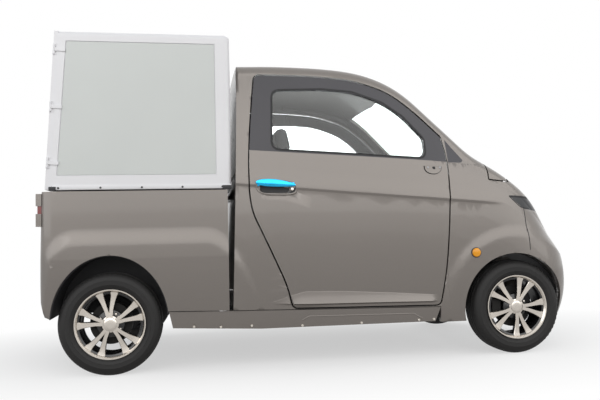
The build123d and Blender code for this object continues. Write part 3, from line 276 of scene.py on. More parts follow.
# Gloss paint in the pockets shows only as a dark mirror.
pocket_black = finish("wheel_pocket_gloss_black", "#0E0E10", 0.28, coat=0.5, vary=0.1,
                      grain=200.0, bump=0.02)
dress(machined, *pair("rim_front"), *pair("rim_rear"))


# A small round head on a surface, or a nut with six sides, looking along a direction.
def knob(bm, place, direction, radius, height, segments=16, mat=0):
    turn = Vector(direction).normalized().to_track_quat("Z", "Y").to_matrix().to_4x4()
    rings = []
    for r, h in ((radius, -0.001), (radius, height * 0.55), (radius * 0.8, height),
                 (radius * 0.3, height * 1.05)):
        rings.append([bm.verts.new(Vector(place) + turn @ Vector((
            r * cos(2 * pi * k / segments), r * sin(2 * pi * k / segments), h)))
            for k in range(segments)])
    for i in range(3):
        wall(bm, rings[i], rings[i + 1], mat)
    bm.faces.new(rings[-1]).material_index = mat


def rim_pieces(side, word):
    for end, x, turn in (("front", front_x, -6.0), ("rear", rear_x, 24.0)):
        place = (x, side * wheel_y, wheel_z)
        centre = Vector(place)
        bm = bmesh.new()
        rings = lathe(bm, [(r, side * v) for r, v in barrel], place, rim_steps, barrel_looks)
        wall(bm, rings[-1], rings[0], 1)
        for i in range(spokes):
            for fork in (-1, 1):
                rows = []
                for r, spread, half, back in arm:
                    a = radians(turn + 360 / spokes * i) + radians(spread) * fork
                    mid = Vector((cos(a), 0, sin(a))) * r
                    across = Vector((-sin(a), 0, cos(a)))
                    face_y = side * (spoke_face_y - back)
                    rows.append([bm.verts.new(centre + mid + across * half * share
                                              + Vector((0, face_y - side * deep, 0)))
                                 for share, deep in arm_section])
                for j in range(len(rows) - 1):
                    for k, f in enumerate(wall(bm, rows[j], rows[j + 1], 1)):
                        if k in bright_faces:
                            f.material_index = 0
                for row in (rows[0], rows[-1]):
                    bm.faces.new(row).material_index = 1
        lathe(bm, [(r, side * v) for r, v in cap], place, hub_steps, cap_looks)
        for i in range(nuts):
            a = radians(turn + nut_turn + 360 / nuts * i)
            p = centre + Vector((cos(a), 0, sin(a))) * nut_circle
            knob(bm, p + Vector((0, side * 0.0415, 0)), (0, side, 0), 0.0105, 0.003, 24, mat=1)
            knob(bm, p + Vector((0, side * 0.0430, 0)), (0, side, 0), 0.0080, 0.0135, 6, mat=0)
        name = "rim_%s_%s" % (end, word)
        add(name + "_forked", bm, "wheel_%s_%s" % (end, word),
            [machined, pocket_black], stands_for=(name,), smooth=28.0)


both_sides(rim_pieces)

# ---------------------------------------------------------------- painted panels
# Pressed sheet panels, welded to the cab or hung on it, and sprayed in metallic
# beige grey under clear coat. A crease runs under the windows, and the sheet
# swells round each wheel opening. Values are metres from the middle of the wheelbase.
crease_slope, crease_z, crease_x, crease_high = -0.0833, 0.962, -0.115, 0.0048
crease_above, crease_below, crease_from, crease_to = 0.095, 0.017, -0.52, 1.10
flare_high, flare_fade = 0.0125, 0.07
rear_flare_z, rear_flare_x, rear_flare_half, rear_fade = 0.672, -0.965, 0.335, 0.085
front_flare_r, front_flare_x = 0.402, 1.128
flat_inside, full_over = 0.47, 0.14     # no relief nearer the middle than this, then a fade
# Aluminium flakes lie in the colour under the clear coat. Real ones are under 0.1 mm
# across, and these are about 1 mm, so that they show.
paint = finish("metallic_beige_grey_paint", "#7C7671", 0.34, metal=0.45, coat=0.6, vary=0.02,
               grain=60.0, bump=0.0, broad=1.2, flakes=0.05)
dress(paint, "cab_shell", "front_wings", "front_panel", "front_bumper", "bonnet", "sills",
      "bed_sides", "tail_panel", "tail_blocks", *pair("door_panel"))


def ease(f):
    f = min(1.0, max(0.0, f))
    return f * f * (3.0 - 2.0 * f)


def crease_at(x):
    return crease_z + crease_slope * (x + datum_shift - crease_x)


# How far the pressing stands out of the plain skin at a place on the side. It fades
# out over a short way at the ends of the crease and of each swelling.
def relief(x, z):
    dx = x + datum_shift
    d = z - crease_at(x)
    ends = ease((dx - crease_from) / 0.05) * ease((crease_to - dx) / 0.22)
    rise = ease(1.0 - d / crease_above) if d >= 0 else ease(1.0 + d / crease_below)
    # the rear swelling has a flat top with a round shoulder at each end
    past = max(0.0, abs(dx - rear_flare_x) - rear_flare_half)
    top = rear_flare_z - 0.55 * past * past / 0.12
    rear = (ease((top + rear_fade - z) / rear_fade) * ease((-0.325 - dx) / 0.20)
            * ease((dx + 1.455) / 0.05))
    r = sqrt((dx - front_flare_x) ** 2 + (z - wheel_z) ** 2)
    front = ease((front_flare_r + flare_fade - r) / flare_fade) * ease((1.44 - dx) / 0.13)
    return crease_high * ends * rise + flare_high * max(rear, 0.8 * front)


def side_share(y):
    return ease((abs(y) - flat_inside) / full_over)


# A copy of a panel is cut along the crease and across the swellings, which gives it
# enough points, and each point of its side is then moved out by the relief.
def pressed(name, body):
    bm = bmesh.new()
    bm.from_mesh(nodes[name].data)
    bmesh.ops.remove_doubles(bm, verts=bm.verts, dist=0.00001)
    xs = [v.co.x + datum_shift for v in bm.verts]
    zs = [v.co.z for v in bm.verts]
    cuts = []
    if max(zs) > 0.90:
        for d in (0.095, 0.08, 0.062, 0.045, 0.028, 0.012, 0.0, -0.004, -0.0085, -0.013, -0.017):
            cuts.append((0.0, crease_at(0.0) + d, (-crease_slope, 0.0, 1.0)))
    x = min(xs)
    while x < max(xs):
        if -1.47 < x < -0.30 or 0.66 < x < 1.45:
            cuts.append((x - datum_shift, 0.0, (1.0, 0.0, 0.0)))
        x += 0.02
    if min(xs) < -0.4 or max(xs) > 0.9:
        z = 0.22
        while z < 0.80:
            cuts.append((0.0, z, (0.0, 0.0, 1.0)))
            z += 0.012 if z > 0.56 else 0.022
    for x, z, normal in cuts:
        bmesh.ops.bisect_plane(bm, geom=bm.verts[:] + bm.edges[:] + bm.faces[:], dist=0.00005,
                               plane_co=(x, 0.0, z), plane_no=normal)
    for v in bm.verts:
        v.co.y += side_share(v.co.y) * relief(v.co.x, v.co.z) * (1 if v.co.y > 0 else -1)
    add(name + "_pressed", bm, body, paint, stands_for=(name,), smooth=33.0,
        recalc=False)


for name in ("cab_shell", "front_wings", "bed_sides", "front_bumper"):
    pressed(name, "body")
for word in ("left", "right"):
    pressed("door_panel_" + word, "door_" + word)

# ---------------------------------------------------------------- lower shelf
# A fold in the side's sheet, proud by 13 mm at its foot. It starts on the cab behind
# the door and runs on along the door's foot, so it is split at the door's edge.


# A point given in millimetres from the middle of the wheelbase and the ground.
def at(x, z):
    return (x / 1000.0 - datum_shift, z / 1000.0)


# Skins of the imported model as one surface, so that trim can be laid on them.
def surface(*names):
    verts, polys = [], []
    for n in names:
        mesh = nodes[n].data
        start = len(verts)
        verts.extend([v.co.copy() for v in mesh.vertices])
        polys.extend([[start + i for i in p.vertices] for p in mesh.polygons])
    return BVHTree.FromPolygons(verts, polys)


side_skin = surface("door_panel_right", "door_frame_right", "front_wings", "cab_shell", "bed_sides",
                    "sills", "front_bumper", "quarter_trims", "headlamps", "front_panel", "bonnet")


# Where the right side's outer skin is, with its relief unless a tree is given.
def skin_y(x, z, tree=None):
    hit = (tree or side_skin).ray_cast(Vector((x, -2.0, z)), Vector((0, 1, 0)))
    if hit[0] is None or hit[0].y > -0.2:
        hit = (tree or side_skin).find_nearest(Vector((x, -0.72, z)))
    lift = 0.0 if tree else relief(x, z) * side_share(hit[0].y)
    return hit[0].y - lift


shelf_top = [at(*p) for p in ((-292, 344), (-180, 382), (-82, 405), (120, 398), (400, 378),
                              (655, 356))]
shelf_low = [at(*p) for p in ((-292, 338), (-180, 334), (-82, 331), (120, 328), (400, 324),
                              (655, 319))]
shelf_high, shelf_sink, shelf_rows, foot_rows = 0.013, 0.0012, 10, 3


def height_at(line, x):
    for (x0, z0), (x1, z1) in zip(line, line[1:]):
        if x <= x1:
            return z0 + (z1 - z0) * max(0.0, x - x0) / (x1 - x0)
    return line[-1][1]


# Fills a grid of points.
def sheet(bm, grid):
    for a, b in zip(grid, grid[1:]):
        for j in range(len(a) - 1):
            bm.faces.new((a[j], a[j + 1], b[j + 1], b[j]))


# One part of the shelf. Its ends may lean with the slanted rear edge of the door.
def shelf_run(name, body, side, x_from, x_to, count, lean_first, lean_last):
    bm = bmesh.new()
    grid = []
    for i in range(count + 1):
        f = i / count
        x0 = x_from + (x_to - x_from) * f
        top, low = height_at(shelf_top, x0), height_at(shelf_low, x0)
        fade = ease((x0 - shelf_top[0][0]) / 0.20) * ease((shelf_top[-1][0] - x0) / 0.05)
        column = []
        for j in range(shelf_rows + foot_rows + 1):
            if j <= shelf_rows:
                g = j / shelf_rows
                z, h = top + (low - top) * g, shelf_high * fade * g ** 1.4
            else:
                g = (j - shelf_rows) / float(foot_rows)
                z, h = low - 0.012 * g, shelf_high * fade * (1 - g) ** 2 - shelf_sink * g
            if j == 0:
                h = -shelf_sink
            x = x0 - 0.245 * (z - 0.344) * (lean_first * (1 - f) + lean_last * f)
            column.append(bm.verts.new((x, (skin_y(x, z) - h) * -side, z)))
        grid.append(column)
    sheet(bm, grid)
    bm.faces.new(grid[0])
    bm.faces.new(grid[-1])
    add(name, bm, body, paint, smooth=50.0)


def shelf_pieces(side, word):
    shelf_run("cab_lower_shelf_" + word, "body", side, -0.290 - datum_shift,
              -0.1875 - datum_shift, 12, 0, 1)
    shelf_run("door_lower_shelf_" + word, "door_" + word, side, -0.1705 - datum_shift,
              0.653 - datum_shift, 64, 1, 0)


both_sides(shelf_pieces)

# ---------------------------------------------------------------- mirror plates
# A painted cover where a mirror would be bolted on, at the front of each door. It
# sits on a rubber gasket, with a screw at each end. A dark disc in the middle is painted shade for
# a hole.
plate_at, plate_proud, plate_step = at(651, 1066), 0.0055, 0.015
# Extruded rubber is soft black and hardly shines. The same dark finish is painted shade in the door
# pull's cup and in the mirror plate's hole.
dark_rubber_and_shade = finish("rubber_seal_and_painted_shade", "#1A1A1C", 0.62, vary=0.1, grain=500.0, bump=0.05)


# Lays a plate on the side: an outline in X and Z is cut into a grid, pressed on to
# the skin and lifted off it, and its edge is sunk into the skin.
def skin_plate(bm, outline, lift, side, step, mat=0):
    work = bmesh.new()
    work.faces.new([work.verts.new((x, 0, z)) for x, z in outline])
    xs, zs = [p[0] for p in outline], [p[1] for p in outline]
    for axis, low, high in ((0, min(xs), max(xs)), (2, min(zs), max(zs))):
        count = max(1, int((high - low) / step))
        for k in range(1, count):
            place, normal = [0, 0, 0], [0, 0, 0]
            place[axis] = low + (high - low) * k / count
            normal[axis] = 1
            bmesh.ops.bisect_plane(work, geom=work.verts[:] + work.edges[:] + work.faces[:],
                                   plane_co=place, plane_no=normal)
    edge_verts = {v for e in work.edges if e.is_boundary for v in e.verts}
    tops, feet = {}, {}
    for v in work.verts:
        y = skin_y(v.co.x, v.co.z)
        tops[v] = bm.verts.new((v.co.x, (y - lift) * -side, v.co.z))
        if v in edge_verts:
            feet[v] = bm.verts.new((v.co.x, (y + shelf_sink) * -side, v.co.z))
    for f in work.faces:
        loop = [tops[v] for v in f.verts]
        bm.faces.new(loop if side < 0 else list(reversed(loop))).material_index = mat
    for e in work.edges:
        if e.is_boundary:
            a, b = e.verts
            bm.faces.new((tops[a], tops[b], feet[b], feet[a])).material_index = mat
    work.free()


def mirror_plate(side, word):
    bm = bmesh.new()
    cx, cz = plate_at
    outline = [(cx - 0.050, cz + 0.012), (cx + 0.050, cz + 0.010)]
    outline += [(cx + 0.050 * cos(a), cz + 0.002 + 0.034 * sin(a)) for a in
                [-radians(12 * k) for k in range(1, 15)]]
    gasket = [(cx + (px - cx) * 1.07, cz + (pz - cz) * 1.10) for px, pz in outline]
    skin_plate(bm, gasket, 0.0022, side, plate_step, mat=2)
    skin_plate(bm, outline, plate_proud, side, plate_step)
    for dx in (-0.031, 0.042):
        x, z = cx + dx, cz + 0.004
        knob(bm, (x, (skin_y(x, z) - plate_proud) * -side, z), (0, side, 0), plate_proud * 1.25,
             0.003, 14, mat=1)
    # The dark disc in the middle is painted shade for the hole in the plate.
    x = cx + 0.004
    knob(bm, (x, (skin_y(x, cz) - 0.0053) * -side, cz), (0, side, 0), 0.0095, 0.0014, 18, mat=2)
    add("mirror_mount_plate_" + word, bm, "door_" + word, [paint, steel, dark_rubber_and_shade])


both_sides(mirror_plate)

# ---------------------------------------------------------------- door handles
# A bowed pull of moulded plastic, plated in blue, over a flat dark patch with a painted
# rim; the patch is painted shade for the dished cup behind the pull. The lock's round face
# is below its front end.
pull_at, cup_points, pull_steps, pull_sides = at(-252, 975), 44, 24, 18
# Tinted plating is a blue mirror, with small ripples from the moulding.
blue_chrome = finish("blue_mirror_plating", "#25B8F0", 0.1, metal=1.0, coat=0.4, vary=0.12,
                     grain=20.0, bump=0.0, broad=25.0)
dress(blue_chrome, *pair("door_handle"))


# A raised bead with a round back, along a line of (x, z) points on the side.
def bead(bm, points, width, height, side, mat=0, closed=False, tree=None):
    rings = []
    n = len(points)
    for i, (x, z) in enumerate(points):
        a = points[i - 1] if i or closed else points[i]
        b = points[(i + 1) % n] if i < n - 1 or closed else points[i]
        d = Vector((b[0] - a[0], b[1] - a[1])).normalized()
        across = Vector((-d.y, d.x)) * width / 2
        ring = []
        for s, h in ((-1.0, -0.0015), (-0.92, height * 0.55), (-0.5, height * 0.95),
                     (0.0, height), (0.5, height * 0.95), (0.92, height * 0.55), (1.0, -0.0015)):
            px, pz = x + across.x * s, z + across.y * s
            ring.append(bm.verts.new((px, (skin_y(px, pz, tree) - h) * -side, pz)))
        rings.append(ring)
    for i in range(n if closed else n - 1):
        a, b = rings[i], rings[(i + 1) % n]
        for k in range(len(a) - 1):
            bm.faces.new((a[k], a[k + 1], b[k + 1], b[k])).material_index = mat
    if not closed:
        for ring in (rings[0], rings[-1]):
            bm.faces.new(ring).material_index = mat


# A block with rounded edges between two corners.
def round_box(bm, low, high, radius, segments=2):
    made = bmesh.ops.create_cube(bm, size=1.0)
    size = [high[i] - low[i] for i in range(3)]
    mid = [(high[i] + low[i]) / 2 for i in range(3)]
    bmesh.ops.scale(bm, vec=size, verts=made["verts"])
    edges = list({e for v in made["verts"] for e in v.link_edges})
    cut = bmesh.ops.bevel(bm, geom=edges, offset=radius, segments=segments, affect="EDGES",
                          profile=0.5, material=-1)
    verts = {v for f in cut["faces"] for v in f.verts}
    for v in list(verts):
        for f in v.link_faces:
            verts.update(f.verts)
    bmesh.ops.transform(bm, matrix=Matrix.Translation(mid), verts=list(verts))


def sign(value):
    return 1 if value > 0 else -1


def handle_piece(side, word):
    bm = bmesh.new()
    cx, cz = pull_at
    cup = []
    for k in range(cup_points):
        a = 2 * pi * k / cup_points
        ca, sa = cos(a), sin(a)
        cup.append((cx + 0.004 + 0.108 * abs(ca) ** 0.6 * sign(ca),
                    cz - 0.012 - 0.006 * ca + 0.036 * abs(sa) ** 0.7 * sign(sa)))
    # A flat dark patch on the skin: painted shade where the cup's hollow is.
    skin_plate(bm, cup, 0.0012, side, 0.02, mat=1)
    bead(bm, cup, 0.010, 0.0035, side, mat=3, closed=True)
    # the pull is tall at the back and slim at its front end
    rings = []
    for k in range(pull_steps + 1):
        t = k / float(pull_steps)
        x = cx - 0.109 + 0.214 * t
        z = cz + 0.017 - 0.016 * t + 0.004 * sin(pi * t)
        y = skin_y(x, z)
        proud = 0.0075 + 0.0085 * sin(pi * t) ** 0.7
        end = sin(pi * min(1, max(0.0, t * 0.98 + 0.01))) ** 0.35
        tall = (0.0245 - 0.0085 * t) * min(1.0, end)
        ring = []
        for q in range(pull_sides):
            a = 2 * pi * q / pull_sides
            ca, sa = cos(a), sin(a)
            ring.append(bm.verts.new((x, (y - proud - 0.0055 * abs(ca) ** 0.7 * sign(ca)) * -side,
                                      z + tall * abs(sa) ** 0.8 * sign(sa))))
        rings.append(ring)
    for i in range(pull_steps):
        wall(bm, rings[i], rings[i + 1])
    bm.faces.new(rings[0])
    bm.faces.new(rings[-1])
    for x in (cx - 0.096, cx + 0.094):
        y = skin_y(x, cz + 0.006)
        low, high = sorted(((y - 0.010) * -side, (y + 0.002) * -side))
        round_box(bm, (x - 0.006, low, cz - 0.004), (x + 0.006, high, cz + 0.016), 0.002)
    x, z = cx + 0.088, cz - 0.020
    knob(bm, (x, (skin_y(x, z) - 0.0012) * -side, z), (0, side, 0), 0.0095, 0.005, 24, mat=2)
    add("door_pull_" + word, bm, "door_" + word,
        [blue_chrome, dark_rubber_and_shade, machined, paint], stands_for=("door_handle_" + word,), smooth=45.0)


both_sides(handle_piece)

# ---------------------------------------------------------------- windows
# Plain safety glass in satin black frames. An extruded rubber seal is pushed on to
# each frame's edge and goes all round the door's window.
wheelbase, cab_height = 2256, 1690      # the window's corners are shares of these
window_line = [at(x * wheelbase, z * cab_height) for x, z in (
    (-0.1111, 0.8960), (-0.1173, 0.6987), (0.2715, 0.6680), (0.2708, 0.7333),
    (0.2192, 0.8104), (0.1683, 0.8572), (0.0910, 0.8928), (0.0136, 0.9010))]
seal_out, seal_corner, seal_step = 0.007, 0.050, 0.03
# Satin black paint shows broad soft highlights.
trim = finish("window_frame_satin_black", "#3C3B40", 0.5, coat=0.15, vary=0.05, grain=300.0)
dress(trim, "quarter_trims", *pair("door_frame"))


# Glass lets nearly all light through, and mirrors the room where it is seen edge on.
def clear(name, colour):
    m = finish(name, colour, 0.02, vary=0.01, bump=0.0)
    p = m.node_tree.nodes["Principled BSDF"]
    p.inputs["Transmission Weight"].default_value = 1.0
    p.inputs["IOR"].default_value = 1.45
    return m


dress(clear("clear_window_glass", "#F2F6F6"), *pair("door_glass"))
dress(clear("windscreen_glass", "#E9F0EF"), "windscreen")


# Rounds the corners of a closed outline, and divides its long sides.
def rounded(points, radius, steps=7):
    out, n = [], len(points)
    for i in range(n):
        a, b, c = (Vector(points[(i + d) % n]) for d in (-1, 0, 1))
        u, v = (a - b), (c - b)
        turn = pi - u.angle(v)
        room = min(radius * abs(sin(turn / 2) / max(cos(turn / 2), 1e-3)),
                   0.42 * u.length, 0.42 * v.length)
        p, q = b + u.normalized() * room, b + v.normalized() * room
        for k in range(steps + 1):
            t = k / steps
            w = p * (1 - t) ** 2 + b * 2 * t * (1 - t) + q * t * t
            out.append((w.x, w.y))
    dense = []
    for i in range(len(out)):
        a, b = out[i], out[(i + 1) % len(out)]
        gap = sqrt((b[0] - a[0]) ** 2 + (b[1] - a[1]) ** 2)
        if gap < 1e-5:
            continue
        count = max(1, int(gap / seal_step))
        for k in range(count):
            dense.append((a[0] + (b[0] - a[0]) * k / count, a[1] + (b[1] - a[1]) * k / count))
    return dense


def window_seal(side, word):
    bm = bmesh.new()
    n = len(window_line)
    middle = Vector((sum(p[0] for p in window_line) / n, sum(p[1] for p in window_line) / n))
    grown = []
    for i in range(n):
        a, b, c = (Vector(window_line[(i + d) % n]) for d in (-1, 0, 1))
        d1, d2 = (b - a).normalized(), (c - b).normalized()
        out = (Vector((-d1.y, d1.x)) + Vector((-d2.y, d2.x))).normalized()
        if out.dot(b - middle) < 0:
            out = -out
        grown.append(tuple(b + out * seal_out))
    bead(bm, rounded(grown, seal_corner), 0.011, 0.0022, side, closed=True,
         tree=surface("door_frame_right"))
    add("window_seal_" + word, bm, "door_" + word, dark_rubber_and_shade)


both_sides(window_seal)

# ---------------------------------------------------------------- side markers
# A round amber repeater on each front wing, clipped in over a black rubber ring.
marker_at, marker_steps = at(877, 583), 32
# Moulded acrylic in amber is smooth and glossy.
amber = finish("amber_lamp_lens", "#FFA800", 0.2, coat=0.4, vary=0.05, grain=120.0, bump=0.0)


def marker_piece(side, word):
    bm = bmesh.new()
    x, z = marker_at
    y = skin_y(x, z)
    for r, h, mat in ((0.0290, 0.0030, 1), (0.0250, 0.0105, 0)):
        rings = []
        for rr, hh in ((r, -0.004), (r, h * 0.6), (r * 0.86, h), (r * 0.45, h * 1.15),
                       (0.002, h * 1.2)):
            rings.append([bm.verts.new((x + rr * cos(2 * pi * k / marker_steps), (y - hh) * -side,
                                        z + rr * sin(2 * pi * k / marker_steps)))
                          for k in range(marker_steps)])
        for i in range(len(rings) - 1):
            wall(bm, rings[i], rings[i + 1], mat)
        bm.faces.new(rings[-1]).material_index = mat
    add("side_marker_" + word, bm, "body", [amber, moulded])


both_sides(marker_piece)

# ---------------------------------------------------------------- nose
# Headlamps under dark covers, each framed by a rubber brow above and a thin keel
# below, and the dark seam where the bumper's moulding meets the wing.
# The covers are tinted polycarbonate: a dark gloss that hides the lamps when off.
lamp_black = finish("headlamp_dark_cover", "#26272A", 0.34, coat=0.12, vary=0.06, grain=120.0,
                    bump=0.0)
dress(lamp_black, "headlamps")


# A smooth line through a few points, divided evenly between each two.
def smooth_line(points, steps=8):
    n, out = len(points), []
    for i in range(n - 1):
        p0, p1, p2 = points[max(0, i - 1)], points[i], points[i + 1]
        p3 = points[min(n - 1, i + 2)]
        for s in range(steps):
            t = s / steps
            out.append(tuple(0.5 * (2 * b + (c - a) * t + (2 * a - 5 * b + 4 * c - d) * t * t
                             + (3 * b - a - 3 * c + d) * t ** 3)
                             for a, b, c, d in zip(p0, p1, p2, p3)))
    out.append(tuple(points[-1]))
    return out


# Each seam: the piece, its beads, and each bead's points, width and height.
nose_lines = (
    ("bumper_seam_", ((((1196, 836), (1199, 742), (1207, 667), (1210, 590)), 0.0045, 0.0012),)),
    ("headlamp_brow_", ((((1108, 900), (1160, 899), (1215, 895), (1245, 889)), 0.011, 0.0016),
                        (((1108, 900), (1134, 874), (1180, 836), (1240, 829)), 0.005, 0.0012))))


def nose_seams(side, word):
    for name, beads in nose_lines:
        bm = bmesh.new()
        for points, width, height in beads:
            bead(bm, smooth_line([at(*p) for p in points]), width, height, side)
        add(name + word, bm, "body", dark_rubber_and_shade)


both_sides(nose_seams)

# ---------------------------------------------------------------- sills
# Folded steel sills along the foot of each side, painted with the body. A groove is
# pressed into each, and bright studs hold the plate under its edge.
stud_places = ((-700, 236), (-560, 228), (-395, 226), (-120, 214), (210, 214), (540, 216),
               (628, 216))
sill_line, sill_points = ((-119, 243), (-84, 262), (510, 252), (560, 222)), 60


# Divides a line of straight runs into even steps.
def line_points(points, count):
    out = []
    lengths = [sqrt((b[0] - a[0]) ** 2 + (b[1] - a[1]) ** 2) for a, b in zip(points, points[1:])]
    total = sum(lengths)
    for k in range(count + 1):
        want, i = total * k / count, 0
        while i < len(lengths) - 1 and want > lengths[i]:
            want -= lengths[i]
            i += 1
        f = min(1.0, want / lengths[i])
        out.append((points[i][0] + (points[i + 1][0] - points[i][0]) * f,
                    points[i][1] + (points[i + 1][1] - points[i][1]) * f))
    return out


def sill_details(side, word):
    bm = bmesh.new()
    for place in stud_places:
        x, z = at(*place)
        knob(bm, (x, (skin_y(x, z) + 0.0005) * -side, z), (0, side, 0), 0.0075, 0.0045)
    add("sill_studs_" + word, bm, "body", machined)
    bm = bmesh.new()
    bead(bm, line_points([at(*p) for p in sill_line], sill_points), 0.007, 0.0016, side)
    add("sill_pressing_" + word, bm, "body", paint)


both_sides(sill_details)

# ---------------------------------------------------------------- cargo box
# A box of flat sandwich panels in a white moulded frame, screwed to its bearers. A
# white rail runs along its foot, with five screws and a black cap at each end.
box_side_y, rail_screws = 0.690, 5
rail_proud, cap_proud = 0.003, 0.0062
# Gelcoat is a smooth, hard white gloss from the mould.
white_coat = finish("box_frame_white_gelcoat", "#E9E9EC", 0.32, coat=0.3, vary=0.012,
                    grain=40.0, bump=0.01)
# The panels' painted sheet is greyer and flatter than the frame.
panel_coat = finish("box_panel_pale_grey", "#D3D7D5", 0.42, coat=0.1, vary=0.015, grain=90.0,
                    bump=0.02)
dress(white_coat, "box_shell", "box_door", "box_hinges")
dress(panel_coat, "box_panels")


def box_details(side, word):
    bm = bmesh.new()
    low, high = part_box("box_shell")
    y = box_side_y
    round_box(bm, (low.x + 0.012, y - 0.001, low.z + 0.001),
              (high.x - 0.002, y + rail_proud, low.z + 0.024), 0.0012)
    if side < 0:
        for v in bm.verts:
            v.co.y = -v.co.y
    for k in range(rail_screws):
        x = low.x + 0.045 + (high.x - low.x - 0.095) * k / (rail_screws - 1)
        knob(bm, (x, side * (y + rail_proud), low.z + 0.010), (0, side, 0), 0.0055, 0.0028, 12,
             mat=1)
    for x0, x1 in ((low.x - 0.002, low.x + 0.034), (high.x - 0.050, high.x - 0.0015)):
        y0, y1 = sorted((side * (y + 0.0028), side * (y + cap_proud)))
        round_box(bm, (x0, y0, low.z - 0.004), (x1, y1, low.z + 0.017), 0.0014)
    for f in bm.faces:
        c = f.calc_center_median()
        at_an_end = c.x < low.x + 0.035 or c.x > high.x - 0.051
        if abs(c.y) > y + 0.0027 and at_an_end:
            f.material_index = 1
    add("box_foot_rail_" + word, bm, "body", [white_coat, moulded])


both_sides(box_details)

# ---------------------------------------------------------------- box door latch
# An upright turned steel bar on the leaning rear door, held by three brackets, with
# a flat lever that turns it.
door_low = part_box("box_door")[0]
door_lean = 0.0573 / 0.982
bar_y, bar_r = 0.42, 0.0095
bar_bends, bracket_heights, lever_z = (0.99, 1.2, 1.4, 1.6, 1.78), (1.03, 1.32, 1.73), 1.25


# A round bar that follows points.
def tube(bm, path, radius, sides=12, closed=False):
    pts = [Vector(p) for p in path]
    rings = []
    for i, p in enumerate(pts):
        before = pts[i - 1] if i or closed else p
        after = pts[(i + 1) % len(pts)] if i < len(pts) - 1 or closed else p
        q = (after - before).normalized().to_track_quat("Z", "Y").to_matrix()
        rings.append([bm.verts.new(p + q @ Vector((
            radius * cos(2 * pi * k / sides), radius * sin(2 * pi * k / sides), 0)))
            for k in range(sides)])
    for i in range(len(rings) if closed else len(rings) - 1):
        wall(bm, rings[i], rings[(i + 1) % len(rings)])
    if not closed:
        bm.faces.new(list(reversed(rings[0])))
        bm.faces.new(rings[-1])


bm = bmesh.new()
tube(bm, [(door_low.x - 0.0025 + door_lean * (z - door_low.z), bar_y, z)
          for z in bar_bends], bar_r, 14)
for z in bracket_heights:
    x = door_low.x + door_lean * (z - door_low.z) - 0.004
    round_box(bm, (x - 0.008, bar_y - 0.025, z - 0.022), (x + 0.014, bar_y + 0.025, z + 0.022),
              0.004)
x = door_low.x + door_lean * (lever_z - door_low.z) - 0.006
round_box(bm, (x - 0.012, 0.30, lever_z - 0.012), (x + 0.004, 0.44, lever_z + 0.012), 0.005)
add("box_door_latch", bm, "box_door", steel)

# ---------------------------------------------------------------- seats
# Two foam seats in woven cloth, with sewn channels across and vinyl bolsters at the
# sides. Each stands on a moulded plinth, and its head rest on two steel posts.
seat_x, seat_y, back_lean = 0.160 - datum_shift, 0.265, -12.0
# Width, length and thickness of each pad.
cushion_size = (0.425, 0.455, 0.118)
back_size = (0.425, 0.600, 0.090)
head_size = (0.24, 0.140, 0.076)
channel_deep, channel_half, bolster_from, bolster_high = 0.006, 0.05, 0.66, 0.016
# Woven polyester is matt, with threads 0.7 mm apart and a soft sheen at a fold.
fabric = finish("woven_grey_seat_cloth", "#5B5F63", 0.88, vary=0.1, grain=1400.0, bump=0.5,
                sheen=0.3)
# Vinyl is darker and smoother than the cloth.
side_cloth = finish("dark_seat_vinyl", "#2B2D30", 0.6, vary=0.08, grain=700.0, bump=0.25)
dress(fabric, "seats")


# A padded block: its sides pull in, its face is crowned, and channels are sewn across.
def pad(bm, size, turn, channels, across=22, along=22):
    w, l, t = size

    def fall(u, v):
        return (1 - abs(u) ** 5) * (1 - abs(v) ** 5)

    def swell(u, v):
        return t / 2 * (0.35 + 0.65 * fall(u, v) ** 0.35)

    def height(u, v):
        groove = sum(channel_deep * max(0.0, 1 - abs(u - c) / channel_half) for c in channels)
        bolster = (bolster_high * max(0.0, abs(v) - bolster_from) / (1 - bolster_from)
                   * (1 - abs(v) ** 8))
        return swell(u, v) + bolster - groove * fall(u, v)

    top, low = [], []
    for i in range(along + 1):
        u = -1 + 2 * i / along
        row_t, row_l = [], []
        for j in range(across + 1):
            v = -1 + 2 * j / across
            x = u * l / 2 * (1 - 0.03 * abs(v) ** 3)
            y = v * w / 2 * (1 - 0.03 * abs(u) ** 3)
            row_t.append(bm.verts.new(turn @ Vector((x, y, height(u, v)))))
            row_l.append(bm.verts.new(turn @ Vector((x, y, -swell(u, v)))))
        top.append(row_t)
        low.append(row_l)
    for i in range(along):
        for j in range(across):
            v = -1 + 2 * (j + 0.5) / across
            face = bm.faces.new((top[i][j], top[i][j + 1], top[i + 1][j + 1], top[i + 1][j]))
            face.material_index = 1 if abs(v) > bolster_from else 0
            face = bm.faces.new((low[i][j], low[i + 1][j], low[i + 1][j + 1], low[i][j + 1]))
            face.material_index = 1
    for i in range(along):
        for j in (0, across):
            face = bm.faces.new((top[i][j], top[i + 1][j], low[i + 1][j], low[i][j]))
            face.material_index = 1
    for j in range(across):
        for i in (0, along):
            face = bm.faces.new((top[i][j], top[i][j + 1], low[i][j + 1], low[i][j]))
            face.material_index = 1


def padded_piece(name, size, turn, channels, **steps):
    bm = bmesh.new()
    pad(bm, size, turn, channels, **steps)
    piece = add(name, bm, "body", [fabric, side_cloth], smooth=60.0)
    return piece


